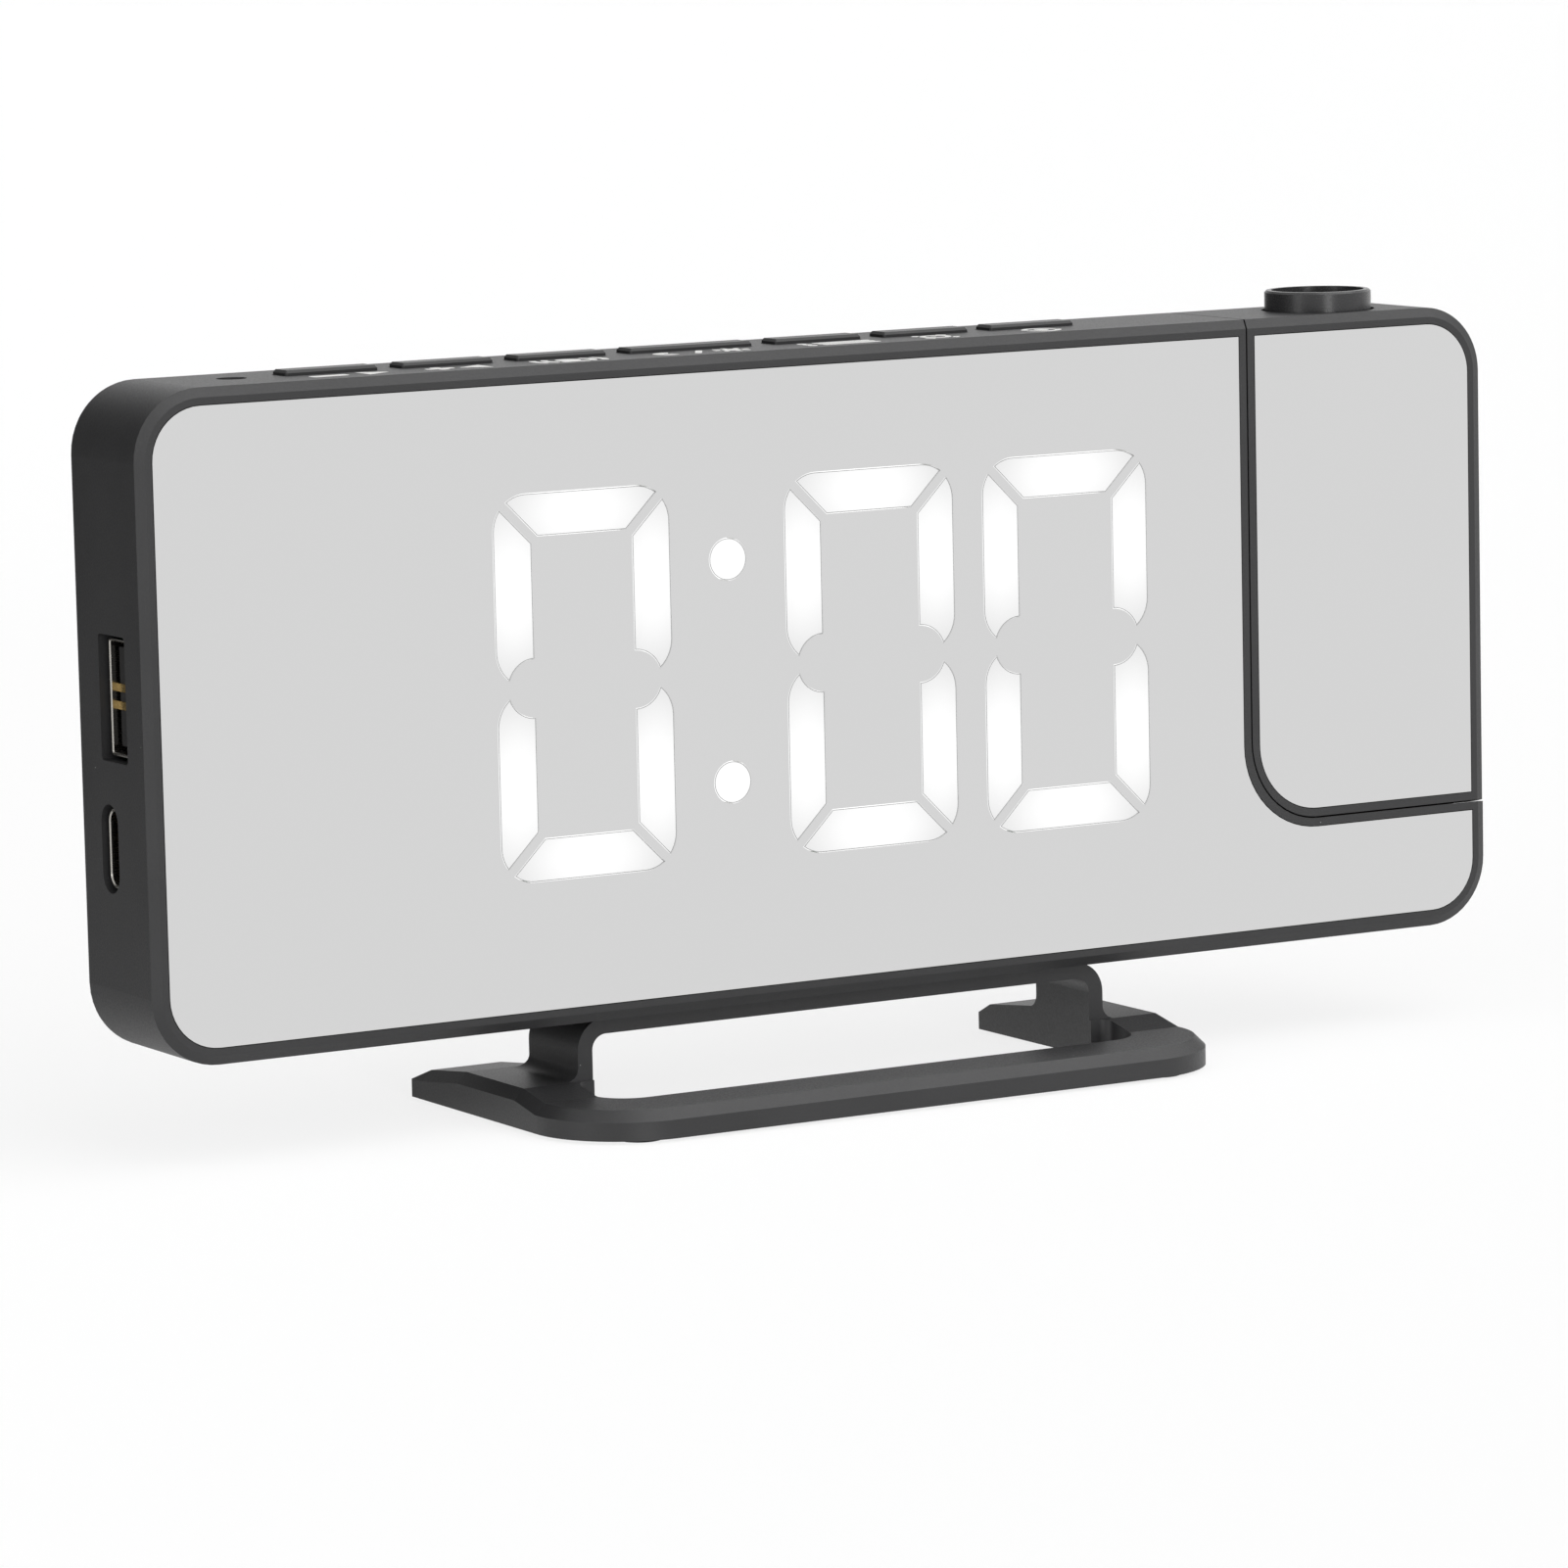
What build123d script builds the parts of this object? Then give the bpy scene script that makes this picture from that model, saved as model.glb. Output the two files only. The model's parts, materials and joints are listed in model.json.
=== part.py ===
from build123d import *
from math import hypot
import os

# Projection alarm clock. Millimetres. X runs right and Y runs back as seen from the front, Z is up.
# The origin is the centre of the footprint, on the surface that the clock stands on.

os.makedirs("parts", exist_ok=True)

LOW, MID, HIGH = Align.MIN, Align.CENTER, Align.MAX

# ---------------------------------------------------------------------------- driving dimensions

# clock body
body_w = 180.0            # left side to right side
body_h = 75.5             # underside to top
body_d = 17.2             # face to back
body_corner_r = 8.0       # the four corners, seen from the front
wall = 2.0                # housing walls
rim_flat = 0.8            # flat strip beside the mirror
rim_bevel_w = 1.1         # bevel from that strip to the side, across the face
rim_bevel_d = 0.55        # the same bevel, measured back along the side
rear_edge_r = 0.4         # rounding of the rear outer edges
ledge_w = 1.4             # ledge that the mirror is bonded to
ledge_t = 1.2
cover_t = 2.0             # rear covers, set into the backs of the housings
cover_lip = 1.0           # housing left round a rear cover
cover_edge = 0.25         # chamfer round the backs of the covers

# mirror panels
panel_t = 2.0
fit_gap = 0.1             # round a part that is fitted and stays put
press_gap = 0.01          # round a part that is pressed in

# projector bay, the upper right corner of the body
bay_w = 34.2              # seam to the body's right side
bay_floor = 14.8          # shelf above the body's underside, at the face
bay_fillet = 9.5          # inner corner of the bay
seam_gap = 0.2            # between body and projector
seam_rim = 0.95           # plain rim between the seam and either mirror
projector_inset = 0.1     # the projector's right side and back lie this far inside the body's

# projector hinge: a hollow axle across the seam
axle_r = 4.0
axle_bore_r = 2.6
run_gap = 0.05            # radial clearance of what turns or slides
hinge_boss_wall = 1.4     # boss round the axle's hole
hinge_boss_len = 2.0
washer_t = 1.2
washer_past = 1.4         # washer and clip beyond the axle
clip_t = 0.8
clip_past = 1.2
clip_depth = 0.5          # depth of the groove that a clip sits in
axle_end = 1.0            # axle beyond its clip

# focus knob and lens
focus_from_side = 18.0    # axis to the body's right side
knob_r = 6.45
knob_h = 2.4              # above the projector's top
knob_chamfer = 0.25
knob_sink = 0.5           # shallow recess that the knob turns in
knob_sink_gap = 0.4       # round the knob in that recess
knob_rim = 0.85           # round the cup in the knob's top
knob_cup_d = 1.5
aperture_r = 3.9
barrel_r = 5.0            # tube under the knob
barrel_wall = 0.6
barrel_roof = 0.9         # thickness round the aperture, below the projector's top
barrel_len = 19.1         # from the projector's top down
sleeve_wall = 0.75        # sleeve round the barrel
sleeve_len = 17.5
barrel_clip_past = 0.6    # clip beyond the barrel
cell_h = 6.6              # lens cell, which slides in the barrel
lens_ledge = 0.35         # ledge that the lens lies on
cell_top = 2.9            # top of the cell below the projector's top
lens_seat_wall = 0.3      # between the lens and the grooves of the prongs
lens_seat_d = 2.2         # seat of the lens below the cell's top
lens_edge = 1.2           # thickness at the rim
lens_bulge = 0.9
guide_prong_w = 1.0       # prongs that stop the cell from turning
guide_prong_t = 0.55
guide_gap = 0.15

# light path of the projector, from the shelf up
shelf_up = 8.0            # shelf above the projector's underside
board_t = 1.2             # every circuit board
tunnel_wall = 1.1
tunnel_bore_r = 4.5
lamp_base_r = 2.8
lamp_base_t = 0.8
lamp_dome_r = 2.5
lamp_h = 3.0
condenser_up = 9.0        # condenser lens above the lamp's board
condenser_edge = 1.4
condenser_bulge = 1.6
slide_w = 12.0            # clear display that is projected
slide_d = 10.6
slide_t = 1.6
slide_drop = 23.9         # its top below the projector's top
guide_ring_t = 2.0
guide_ring_in = 0.3       # ring's edge inside the tunnel's
lead_r = 1.3              # lead through the hollow axle
lead_end = 0.4            # lead beyond the axle's right end
driver_from_tunnel = 2.2  # small upright board beside the light path
driver_h = 13.0
driver_d = 10.2
driver_foot_w = 4.0       # bracket from the tunnel to that board
socket_len = 3.4          # plug sockets at the two ends of the lead
socket_w = 6.0
socket_h = 4.6

# stand
stand_w = 88.4            # over the two arms
stand_front = 15.0        # reach in front of the face
stand_back = 27.8         # reach behind the face
stand_h = 11.5            # underside of the stand to the body
stand_corner_r = 11.8     # front outer corners
arm_w = 10.45
bar_d = 8.7               # front bar, front to back
bar_h = 3.4
rise_behind = 0.5         # the arms start to rise this far behind the rounded corners
arm_h = 4.4               # arms beside the bridge
arm_tip_h = 3.4           # arms where the end chamfer starts
tip_chamfer_l = 2.7       # chamfer at the arm's end, along the arm
tip_chamfer_h = 1.3
stand_bevel = 1.25        # bevel along the outer top edges
bridge_t = 1.9            # strip of the bridge
bridge_d = 11.9           # its depth
bridge_behind = 2.5       # its front edge behind the face
bridge_corner_r = 3.7
bridge_sunk = 1.0         # bottom of the bridge's legs, inside the arms
notch_step = 2.4          # the window is this much wider in front of the bridge
notch_r = 4.7             # front corners of that wider part
notch_back_r = 1.2
toe = 0.3                 # level part of the arms in front of the bridge
heel = 1.8                # level part of the arms behind the bridge
foot_r = 1.6              # fillet beside the bridge's feet and behind them
pad_proud = 0.4           # rubber pads stand out of the underside
pad_t = 1.0
pad_r = 2.6
pad_in = 4.0              # front pads, inside the middle of the arms
stand_screw_apart = 40.0

# display
digit_w = 22.7
digit_h = 44.2
bar_w = 4.8               # width of a segment
segment_gap = 1.2
segment_r = 4.2           # outer corners of the segments
segment_notch_r = 3.4     # round notch at the inner ends of the upright segments
tip_gap = 0.2             # end of an upright segment's outline above the middle
digit_gap = 4.1           # between digits
colon_gap = 15.2          # between the two inner digits
colon_r = 2.4
colon_apart = 25.8
display_right = 1.3       # display's centre right of the middle between left side and seam
display_up = 1.25         # display's centre above the body's middle
window_gap = 0.1          # round a lit segment in the mirror panel
reflector_margin = 2.0    # reflector beyond the digits
reflector_d = 5.4
segment_t = 1.4           # diffusers behind the mirror
lamp_size = 2.0
lamp_t = 1.4
display_board_margin = 1.5  # board above and below the reflector
post_r = 2.0              # posts of the rear cover that press on the boards
post_in = 2.6             # those posts inside the reflector's upper and lower edges

# keys on the top
key_w = 11.6
wide_key_w = 16.2
key_d = 3.4
key_between = 3.05
key_proud = 0.6
key_edge = 0.3            # chamfer round a key's top
key_corner_r = 0.3
key_slot_gap = 0.15
key_flange = 0.9          # flange under the slot, front and back
key_flange_t = 0.8
key_depth = 9.4           # centre of the keys behind the face
key_travel = 0.5
key_right = 0.2           # row of keys right of the display's centre
key_stem_r = 1.4
key_board_drop = 6.1      # key board's top below the inside of the top wall
key_board_d = 9.2
key_board_past = 5.0      # board beyond the last key
switch_w = 5.0
switch_h = 3.0
switch_pin_r = 1.1
switch_pin_h = 0.6        # drawn pressed
key_post_r = 1.1
stake_r = 0.6
stake_past = 0.5          # stake beyond the board

# light sensor
sensor_hole_r = 1.75
sensor_left = 5.9         # centre left of the first key
sensor_window_sink = 0.8
sensor_flange = 0.8       # flange of the window, width and thickness
sensor_r = 1.5
sensor_h = 2.4
sensor_board_left = 4.5   # board left of the sensor's centre

# sockets in the left side
usb_a_up = 40.9           # centre above the body's underside
usb_a_w = 13.1
usb_a_h = 5.7
usb_a_len = 14.0
usb_c_up = 23.9
usb_c_w = 8.94
usb_c_h = 3.2
usb_c_len = 7.5
usb_shell_t = 0.3
usb_lip = 0.14            # chamfer inside the mouths of the shells
usb_clear = 0.55          # round a socket in the side wall
usb_a_sink = 1.0          # socket mouths inside the side
usb_c_sink = 0.6
usb_a_base = 0.7          # base between the Type-A shell and the main board
usb_a_corner_r = 0.5
usb_tongue_corner_r = 0.2
usb_a_tongue_w = 11.1
usb_a_tongue_t = 1.84
usb_a_tongue_gap = 0.55   # tongue to the shell on the board's side
usb_a_tongue_sink = 0.9
usb_c_tongue_w = 6.7
usb_c_tongue_t = 0.7
usb_c_tongue_sink = 0.7
main_board_depth = 11.6   # front of the main board behind the face
main_board_over = 43.5    # right edge right of the display board's left edge
main_board_h = 52.0
main_board_gap = 0.6      # board to the left wall
board_post_in = 4.0       # spacers and posts inside the board's edges
board_post_over = 5.0     # left ones right of the display board's left edge
spacer_r = 2.2
chip_t = 1.4
header_len = 22.0
header_w = 2.6
header_in = 8.0           # header inside the board's right edge

# sound, spare cell and rear cover
speaker_r = 10.0
speaker_t = 3.4
speaker_rim_t = 1.4
magnet_r = 7.0
speaker_ring_t = 1.0      # ring of the rear cover round the loudspeaker
speaker_from_display = 55.5  # centre left of the display's right edge
speaker_up = 27.0
grille_r = 0.8
grille_pitch = 3.2
grille_count = 5
cell_r = 10.0
cell_t = 3.2
holder_wall = 1.4
holder_floor = 1.0
holder_rise = 0.4         # holder's rim above the cell
cell_from_display = 24.5
cell_up = 38.0
door_margin = 2.4         # battery door beyond the cell
door_t = 1.2
door_ledge = 1.0
door_ear = 5.0            # ear of the door that takes its screw
door_corner_r = 2.0
door_screw_len = 5.6
door_boss_h = 4.0

# screws
boss_r = 2.5
boss_in = 5.3             # corner bosses, centre from the outer faces
boss_bite = 0.2           # bosses beside a wall reach this far into it
screw_r = 1.0
screw_len = 9.0
screw_head_r = 1.9
screw_head_t = 1.1
screw_cross_w = 2.2
screw_cross_slot = 0.5
screw_cross_d = 0.6
screw_gap = 0.04
screw_spare = 0.4         # hole beyond the screw's end
stand_boss_r = 3.2
stand_boss_h = 8.0

# ------------------------------------------------------------------------------- derived places

left_x, right_x = -body_w / 2, body_w / 2
bottom_z = pad_proud + stand_h
top_z = bottom_z + body_h
mid_z = bottom_z + body_h / 2
front_y = (stand_front - stand_back) / 2
back_y = front_y + body_d
rim_w = rim_flat + rim_bevel_w
ledge_back = panel_t + ledge_t
cover_front = body_d - cover_t

seam_x = right_x - bay_w
hinge_y = front_y + body_d / 2
hinge_z = bottom_z + (bay_floor + body_h) / 2
swing_r = hypot(hinge_z - bottom_z - bay_floor, body_d / 2)
projector_d = body_d - projector_inset
projector_cover_front = projector_d - cover_t

display_x = (left_x + seam_x) / 2 + display_right
inner_digit = (digit_w + colon_gap) / 2
outer_digit = inner_digit + digit_w + digit_gap
digit_xs = [-outer_digit, -inner_digit, inner_digit, outer_digit]
display_half_w = digit_xs[-1] + digit_w / 2 + reflector_margin
reflector_h = digit_h + 2 * reflector_margin
display_board_depth = panel_t + reflector_d
display_board_back = display_board_depth + board_t

focus_x = right_x - focus_from_side
barrel_bore_r = barrel_r - barrel_wall
groove_in_r = barrel_bore_r - run_gap - guide_prong_t - guide_gap
prong_in_r = groove_in_r + guide_gap / 2
lens_seat_r = groove_in_r - lens_seat_wall
cell_bore_r = lens_seat_r - lens_ledge
tunnel_r = tunnel_bore_r + tunnel_wall
past = 5.0                # how far a cutter reaches beyond what it cuts


def at(x, depth, up):
    """Point at `x`, `depth` behind the face and `up` above the body's underside."""
    return (x, front_y + depth, bottom_z + up)


def face_plane(depth):
    """Plane parallel to the face, seen from the front, with its origin at the body's centre."""
    return Plane(origin=(0, front_y + depth, mid_z), x_dir=(1, 0, 0), z_dir=(0, -1, 0))


# ---------------------------------------------------------------------------- outlines and bodies


def face_outline(inset, shift=0.0):
    """The body's rounded rectangle, drawn in by `inset` and moved right by `shift`."""
    with BuildSketch() as outline:
        with Locations((shift, 0)):
            RectangleRounded(body_w - 2 * inset, body_h - 2 * inset, body_corner_r - inset)
    return outline.sketch


def bay_outline(grow):
    """The bay seen from the front, `grow` wider on the two sides that it shares with the body."""
    with BuildSketch() as corner:
        with Locations((seam_x - grow, bay_floor - body_h / 2 - grow)):
            Rectangle(bay_w + past, body_h, align=(LOW, LOW))
        fillet(corner.vertices().sort_by(Axis.X)[:2].sort_by(Axis.Y)[:1], bay_fillet + grow)
    return corner.sketch


def bay_region(grow):
    """Room of the projector: a body of revolution about the hinge line, and open above that line."""
    with BuildPart() as region:
        with BuildSketch(Plane(origin=(0, hinge_y, hinge_z), x_dir=(1, 0, 0), z_dir=(0, -1, 0))) as half:
            with Locations((seam_x - grow, 0)):
                Rectangle(bay_w + past, swing_r + grow, align=(LOW, LOW))
            fillet(half.vertices().sort_by(Axis.X)[:2].sort_by(Axis.Y)[-1:], bay_fillet + grow)
        revolve(axis=Axis((0, hinge_y, hinge_z), (1, 0, 0)))
        with BuildSketch(Plane.XY.offset(hinge_z)):
            with Locations((seam_x - grow, hinge_y)):
                Rectangle(bay_w + past, body_d + 2 * past, align=(LOW, MID))
        extrude(amount=body_h)
    return region.part


def body_block(depth, shift=0.0):
    """Solid block with the face's outline, bevelled at the front and rounded at the back."""
    with BuildPart() as block:
        with BuildSketch(face_plane(depth)):
            add(face_outline(0, shift))
        extrude(amount=depth)
        front = block.faces().sort_by(Axis.Y)[0]
        chamfer(front.edges(), length=rim_bevel_w, length2=rim_bevel_d, reference=front)
        fillet(block.faces().sort_by(Axis.Y)[-1].edges(), rear_edge_r)
    return block.part


def prism(outline, front, back):
    """`outline` as a slab from `front` to `back` behind the face."""
    with BuildPart() as slab:
        with BuildSketch(face_plane(back)):
            add(outline)
        extrude(amount=back - front)
    return slab.part


def countersunk_screw(length):
    """Screw with its flat head at the origin, pointing down, with a cross recess."""
    with BuildPart() as screw:
        Cylinder(screw_r, length, align=(MID, MID, HIGH))
        Cone(screw_r, screw_head_r, screw_head_t, align=(MID, MID, HIGH))
        for size_x, size_y in ((screw_cross_w, screw_cross_slot), (screw_cross_slot, screw_cross_w)):
            Box(size_x, size_y, screw_cross_d, align=(MID, MID, HIGH), mode=Mode.SUBTRACT)
    return screw.part


def screw_hole(depth):
    """Hole for that screw: clearance, countersink and thread depth."""
    with BuildPart() as hole:
        Cylinder(screw_r + screw_gap, depth, align=(MID, MID, HIGH))
        Cone(screw_r + screw_gap, screw_head_r + screw_gap, screw_head_t, align=(MID, MID, HIGH))
    return hole.part


def facing_back(places):
    """Planes at `places` whose normals point backwards, out of the rear covers."""
    return [Plane(origin=place, x_dir=(-1, 0, 0), z_dir=(0, 1, 0)) for place in places]


def facing_front(places):
    """Planes at `places` whose normals point forwards, into the housings."""
    return [Plane(origin=place, x_dir=(1, 0, 0), z_dir=(0, -1, 0)) for place in places]


screw = countersunk_screw(screw_len)
bored = screw_hole(screw_len + screw_spare)

body_screw_places = [
    at(left_x + boss_in, body_d, boss_in),
    at(left_x + boss_in, body_d, body_h - boss_in),
    at(right_x - boss_in, body_d, boss_in),
    at(seam_x - wall - boss_r + boss_bite, body_d, body_h - wall - boss_r + boss_bite),
]
projector_face = seam_x + seam_gap          # the projector's left side
projector_right = right_x - projector_inset
projector_low = bay_floor + seam_gap
projector_screw_places = [
    at(projector_face + wall + boss_r - boss_bite, projector_d, body_h - wall - boss_r + boss_bite),
    at(projector_right - boss_in, projector_d, body_h - boss_in),
    at(projector_right - wall - boss_r + boss_bite, projector_d, projector_low + wall + boss_r - boss_bite),
]



def on_tilt_line(x, turn=1):
    """Plane across the hinge line at `x`, with its normal to the right, or left where `turn` is -1."""
    return Plane(origin=(x, hinge_y, hinge_z), x_dir=(0, 1, 0), z_dir=(turn, 0, 0))


# keys, left to right
key_widths = [key_w, key_w, key_w, wide_key_w, key_w, key_w, key_w]
key_names = ["key_down", "key_up", "key_alarm", "key_snooze", "key_mode", "key_sound", "key_project"]
key_row_w = sum(key_widths) + key_between * (len(key_widths) - 1)
key_row_left = display_x + key_right - key_row_w / 2
key_xs = [
    key_row_left + sum(key_widths[:index]) + key_between * index + width / 2
    for index, width in enumerate(key_widths)
]
key_y = front_y + key_depth
key_inner_z = top_z - wall
key_board_z = key_inner_z - key_board_drop
sensor_x = key_row_left - sensor_left
key_post_xs = [
    key_row_left - key_between / 2,
    key_row_left + 2 * key_w + key_between * 1.5,
    key_row_left + key_row_w - 2 * key_w - key_between * 1.5,
    key_row_left + key_row_w + key_between / 2,
]

stand_screw_y = front_y + bridge_behind + bridge_d / 2
stand_screw_xs = [-stand_screw_apart / 2, stand_screw_apart / 2]

usb_a_y = front_y + main_board_depth - usb_a_base - usb_a_h / 2
usb_c_y = front_y + main_board_depth - usb_c_h / 2
usb_a_z = bottom_z + usb_a_up
usb_c_z = bottom_z + usb_c_up
usb_a_mouth_x = left_x + usb_a_sink
usb_c_mouth_x = left_x + usb_c_sink

# --------------------------------------------------------------------------------- front housing

with BuildPart() as body_cavity:
    add(prism(face_outline(wall), ledge_back, cover_front))
    add(bay_region(wall), mode=Mode.SUBTRACT)

with BuildPart() as front_housing:
    add(body_block(body_d))
    add(bay_region(0), mode=Mode.SUBTRACT)
    # recess and ledge of the mirror, cavity, and recess of the rear cover
    add(prism(face_outline(rim_w) - bay_outline(seam_rim), 0, panel_t), mode=Mode.SUBTRACT)
    add(
        prism(face_outline(rim_w + ledge_w) - bay_outline(seam_rim + ledge_w), panel_t, ledge_back),
        mode=Mode.SUBTRACT,
    )
    add(body_cavity.part, mode=Mode.SUBTRACT)
    add(
        prism(face_outline(cover_lip) - bay_outline(cover_lip), cover_front, body_d),
        mode=Mode.SUBTRACT,
    )
    # bosses for the cover screws
    with Locations(*facing_back([(x, y - cover_t, z) for x, y, z in body_screw_places])):
        Cylinder(boss_r, cover_front - ledge_back, align=(MID, MID, HIGH))
    # boss of the projector's hinge, on the bay wall
    with Locations(on_tilt_line(seam_x - wall, -1)):
        Cylinder(axle_r + hinge_boss_wall, hinge_boss_len, align=(MID, MID, LOW))
    # bosses that take the stand's screws
    with Locations(*[(x, stand_screw_y, bottom_z + wall) for x in stand_screw_xs]):
        Cylinder(stand_boss_r, stand_boss_h, align=(MID, MID, LOW))
    # posts and stakes that carry the key board
    with Locations(*[(x, key_y, key_inner_z) for x in key_post_xs]):
        Cylinder(key_post_r, key_board_drop, align=(MID, MID, HIGH))
        Cylinder(stake_r, key_board_drop + board_t + stake_past, align=(MID, MID, HIGH))
    # holes: cover screws, hinge, stand screws
    with Locations(*facing_back(body_screw_places)):
        add(bored, mode=Mode.SUBTRACT)
    with Locations(on_tilt_line(seam_x, -1)):
        Cylinder(axle_r + run_gap, 2 * (wall + hinge_boss_len + past), mode=Mode.SUBTRACT)
    with Locations(*[(x, stand_screw_y, bottom_z - bridge_t) for x in stand_screw_xs]):
        Cylinder(screw_r + screw_gap, screw_len + screw_spare, align=(MID, MID, LOW), mode=Mode.SUBTRACT)
    # slots for the keys and the hole over the light sensor
    for key_x, width in zip(key_xs, key_widths):
        with BuildSketch(Plane.XY.offset(key_inner_z)):
            with Locations((key_x, key_y)):
                RectangleRounded(
                    width + 2 * key_slot_gap, key_d + 2 * key_slot_gap, key_corner_r + key_slot_gap
                )
        extrude(amount=wall, mode=Mode.SUBTRACT)
    with Locations((sensor_x, key_y, key_inner_z)):
        Cylinder(sensor_hole_r, wall, align=(MID, MID, LOW), mode=Mode.SUBTRACT)
    # openings for the two sockets
    with BuildSketch(Plane.YZ.offset(left_x)):
        with Locations((usb_a_y, usb_a_z)):
            RectangleRounded(usb_a_h + 2 * usb_clear, usb_a_w + 2 * usb_clear, usb_a_corner_r)
        with Locations(Location((usb_c_y, usb_c_z, 0), (0, 0, 90))):
            SlotOverall(usb_c_w + 2 * usb_clear, usb_c_h + 2 * usb_clear)
    extrude(amount=wall, mode=Mode.SUBTRACT)
front_housing.part.label = "front_housing"
export_step(front_housing.part, "parts/front_housing.step")

# ------------------------------------------------------------------------------------ rear cover

display_right_x = display_x + display_half_w
speaker_x = display_right_x - speaker_from_display
battery_x = display_right_x - cell_from_display
door_half = cell_r + door_margin
door_screw_place = at(battery_x, body_d, cell_up - door_half - door_ear / 2)
door_boss_place = at(battery_x, cover_front, cell_up - door_half - door_ear / 2)
display_mid_up = body_h / 2 + display_up
main_board_x = left_x + wall + main_board_gap
display_board_left = display_x - display_half_w
main_board_right = display_board_left + main_board_over
main_board_w = main_board_right - main_board_x
main_post_xs = [display_board_left + board_post_over, main_board_right - board_post_in]
main_post_ups = [display_mid_up + side * (main_board_h / 2 - board_post_in) for side in (-1, 1)]
display_post_xs = [main_board_right + post_in, display_right_x - post_in]
display_post_ups = [display_mid_up + side * (reflector_h / 2 - post_in) for side in (-1, 1)]
display_posts = [at(x, cover_front, up) for x in display_post_xs for up in display_post_ups]
main_posts = [at(x, cover_front, up) for x in main_post_xs for up in main_post_ups]


def door_outline(grow):
    """Battery door seen from the front: a rounded square with an ear below for its screw."""
    with BuildSketch() as outline:
        with Locations((battery_x, cell_up - body_h / 2 - door_ear / 2)):
            RectangleRounded(2 * (door_half + grow), 2 * (door_half + grow) + door_ear, door_corner_r + grow)
    return outline.sketch


with BuildPart() as rear_cover:
    add(prism(face_outline(cover_lip + fit_gap) - bay_outline(cover_lip + fit_gap), cover_front, body_d))
    chamfer(rear_cover.faces().sort_by(Axis.Y)[-1].edges(), cover_edge)
    # opening and recess of the battery door
    with BuildSketch(face_plane(body_d)):
        with Locations((battery_x, cell_up - body_h / 2)):
            RectangleRounded(2 * (door_half - door_ledge), 2 * (door_half - door_ledge), door_corner_r)
    extrude(amount=cover_t, mode=Mode.SUBTRACT)
    add(prism(door_outline(fit_gap), body_d - door_t, body_d), mode=Mode.SUBTRACT)
    # ring round the loudspeaker
    with Locations(*facing_front([at(speaker_x, cover_front, speaker_up)])):
        Cylinder(speaker_r + fit_gap + speaker_ring_t, speaker_t, align=(MID, MID, LOW))
        Cylinder(speaker_r + fit_gap, speaker_t, align=(MID, MID, LOW), mode=Mode.SUBTRACT)
    # posts that press on the two boards, and the boss for the door's screw
    with Locations(*facing_front(display_posts)):
        Cylinder(post_r, cover_front - display_board_back, align=(MID, MID, LOW))
    with Locations(*facing_front(main_posts)):
        Cylinder(post_r, cover_front - main_board_depth - board_t, align=(MID, MID, LOW))
    with Locations(*facing_front([door_boss_place])):
        Cylinder(boss_r, door_boss_h, align=(MID, MID, LOW))
    # grille and screw holes
    with Locations(*facing_back([at(speaker_x, body_d, speaker_up)])):
        with HexLocations(grille_pitch / 2, grille_count, grille_count):
            Cylinder(grille_r, 3 * cover_t, mode=Mode.SUBTRACT)
    with Locations(*facing_back(body_screw_places)):
        add(bored, mode=Mode.SUBTRACT)
    with Locations(*facing_back([door_screw_place])):
        Cylinder(
            screw_r + screw_gap, door_screw_len + screw_spare, align=(MID, MID, HIGH), mode=Mode.SUBTRACT
        )
rear_cover.part.label = "rear_cover"
export_step(rear_cover.part, "parts/rear_cover.step")

with BuildPart() as case_screws:
    with Locations(*facing_back(body_screw_places)):
        add(screw)
case_screws.part.label = "case_screws"
export_step(case_screws.part, "parts/case_screws.step")

door_screw = countersunk_screw(door_screw_len)
door_hole = screw_hole(door_t)

with BuildPart() as battery_door:
    add(prism(door_outline(0), body_d - door_t, body_d))
    chamfer(battery_door.faces().sort_by(Axis.Y)[-1].edges(), cover_edge)
    with Locations(*facing_back([door_screw_place])):
        add(door_hole, mode=Mode.SUBTRACT)
battery_door.part.label = "battery_door"
export_step(battery_door.part, "parts/battery_door.step")

with BuildPart() as battery_door_screw:
    with Locations(*facing_back([door_screw_place])):
        add(door_screw)
battery_door_screw.part.label = "battery_door_screw"
export_step(battery_door_screw.part, "parts/battery_door_screw.step")

# --------------------------------------------------------------------------------------- display


def upright_segment(grow):
    """Upper left segment of a digit whose centre is the origin, `grow` larger all round."""
    half_w, half_h, width = digit_w / 2 + grow, digit_h / 2 + grow, bar_w + 2 * grow
    with BuildSketch() as segment:
        with Locations((-half_w, tip_gap - grow)):
            Rectangle(2 * half_w, half_h - tip_gap + grow, align=(LOW, LOW))
        fillet(segment.vertices(), segment_r + grow)
        with Locations((width - half_w, 0)):
            Rectangle(digit_w, digit_h, align=(LOW, LOW), mode=Mode.SUBTRACT)
        with Locations(Location((-digit_w / 2, digit_h / 2, 0), (0, 0, -45))):
            with Locations((0, grow - segment_gap / 2)):
                Rectangle(2 * digit_w, 2 * digit_w, align=(MID, LOW), mode=Mode.SUBTRACT)
        with Locations((bar_w - digit_w / 2, 0)):
            Circle(segment_notch_r - grow, mode=Mode.SUBTRACT)
    return segment.sketch


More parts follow.
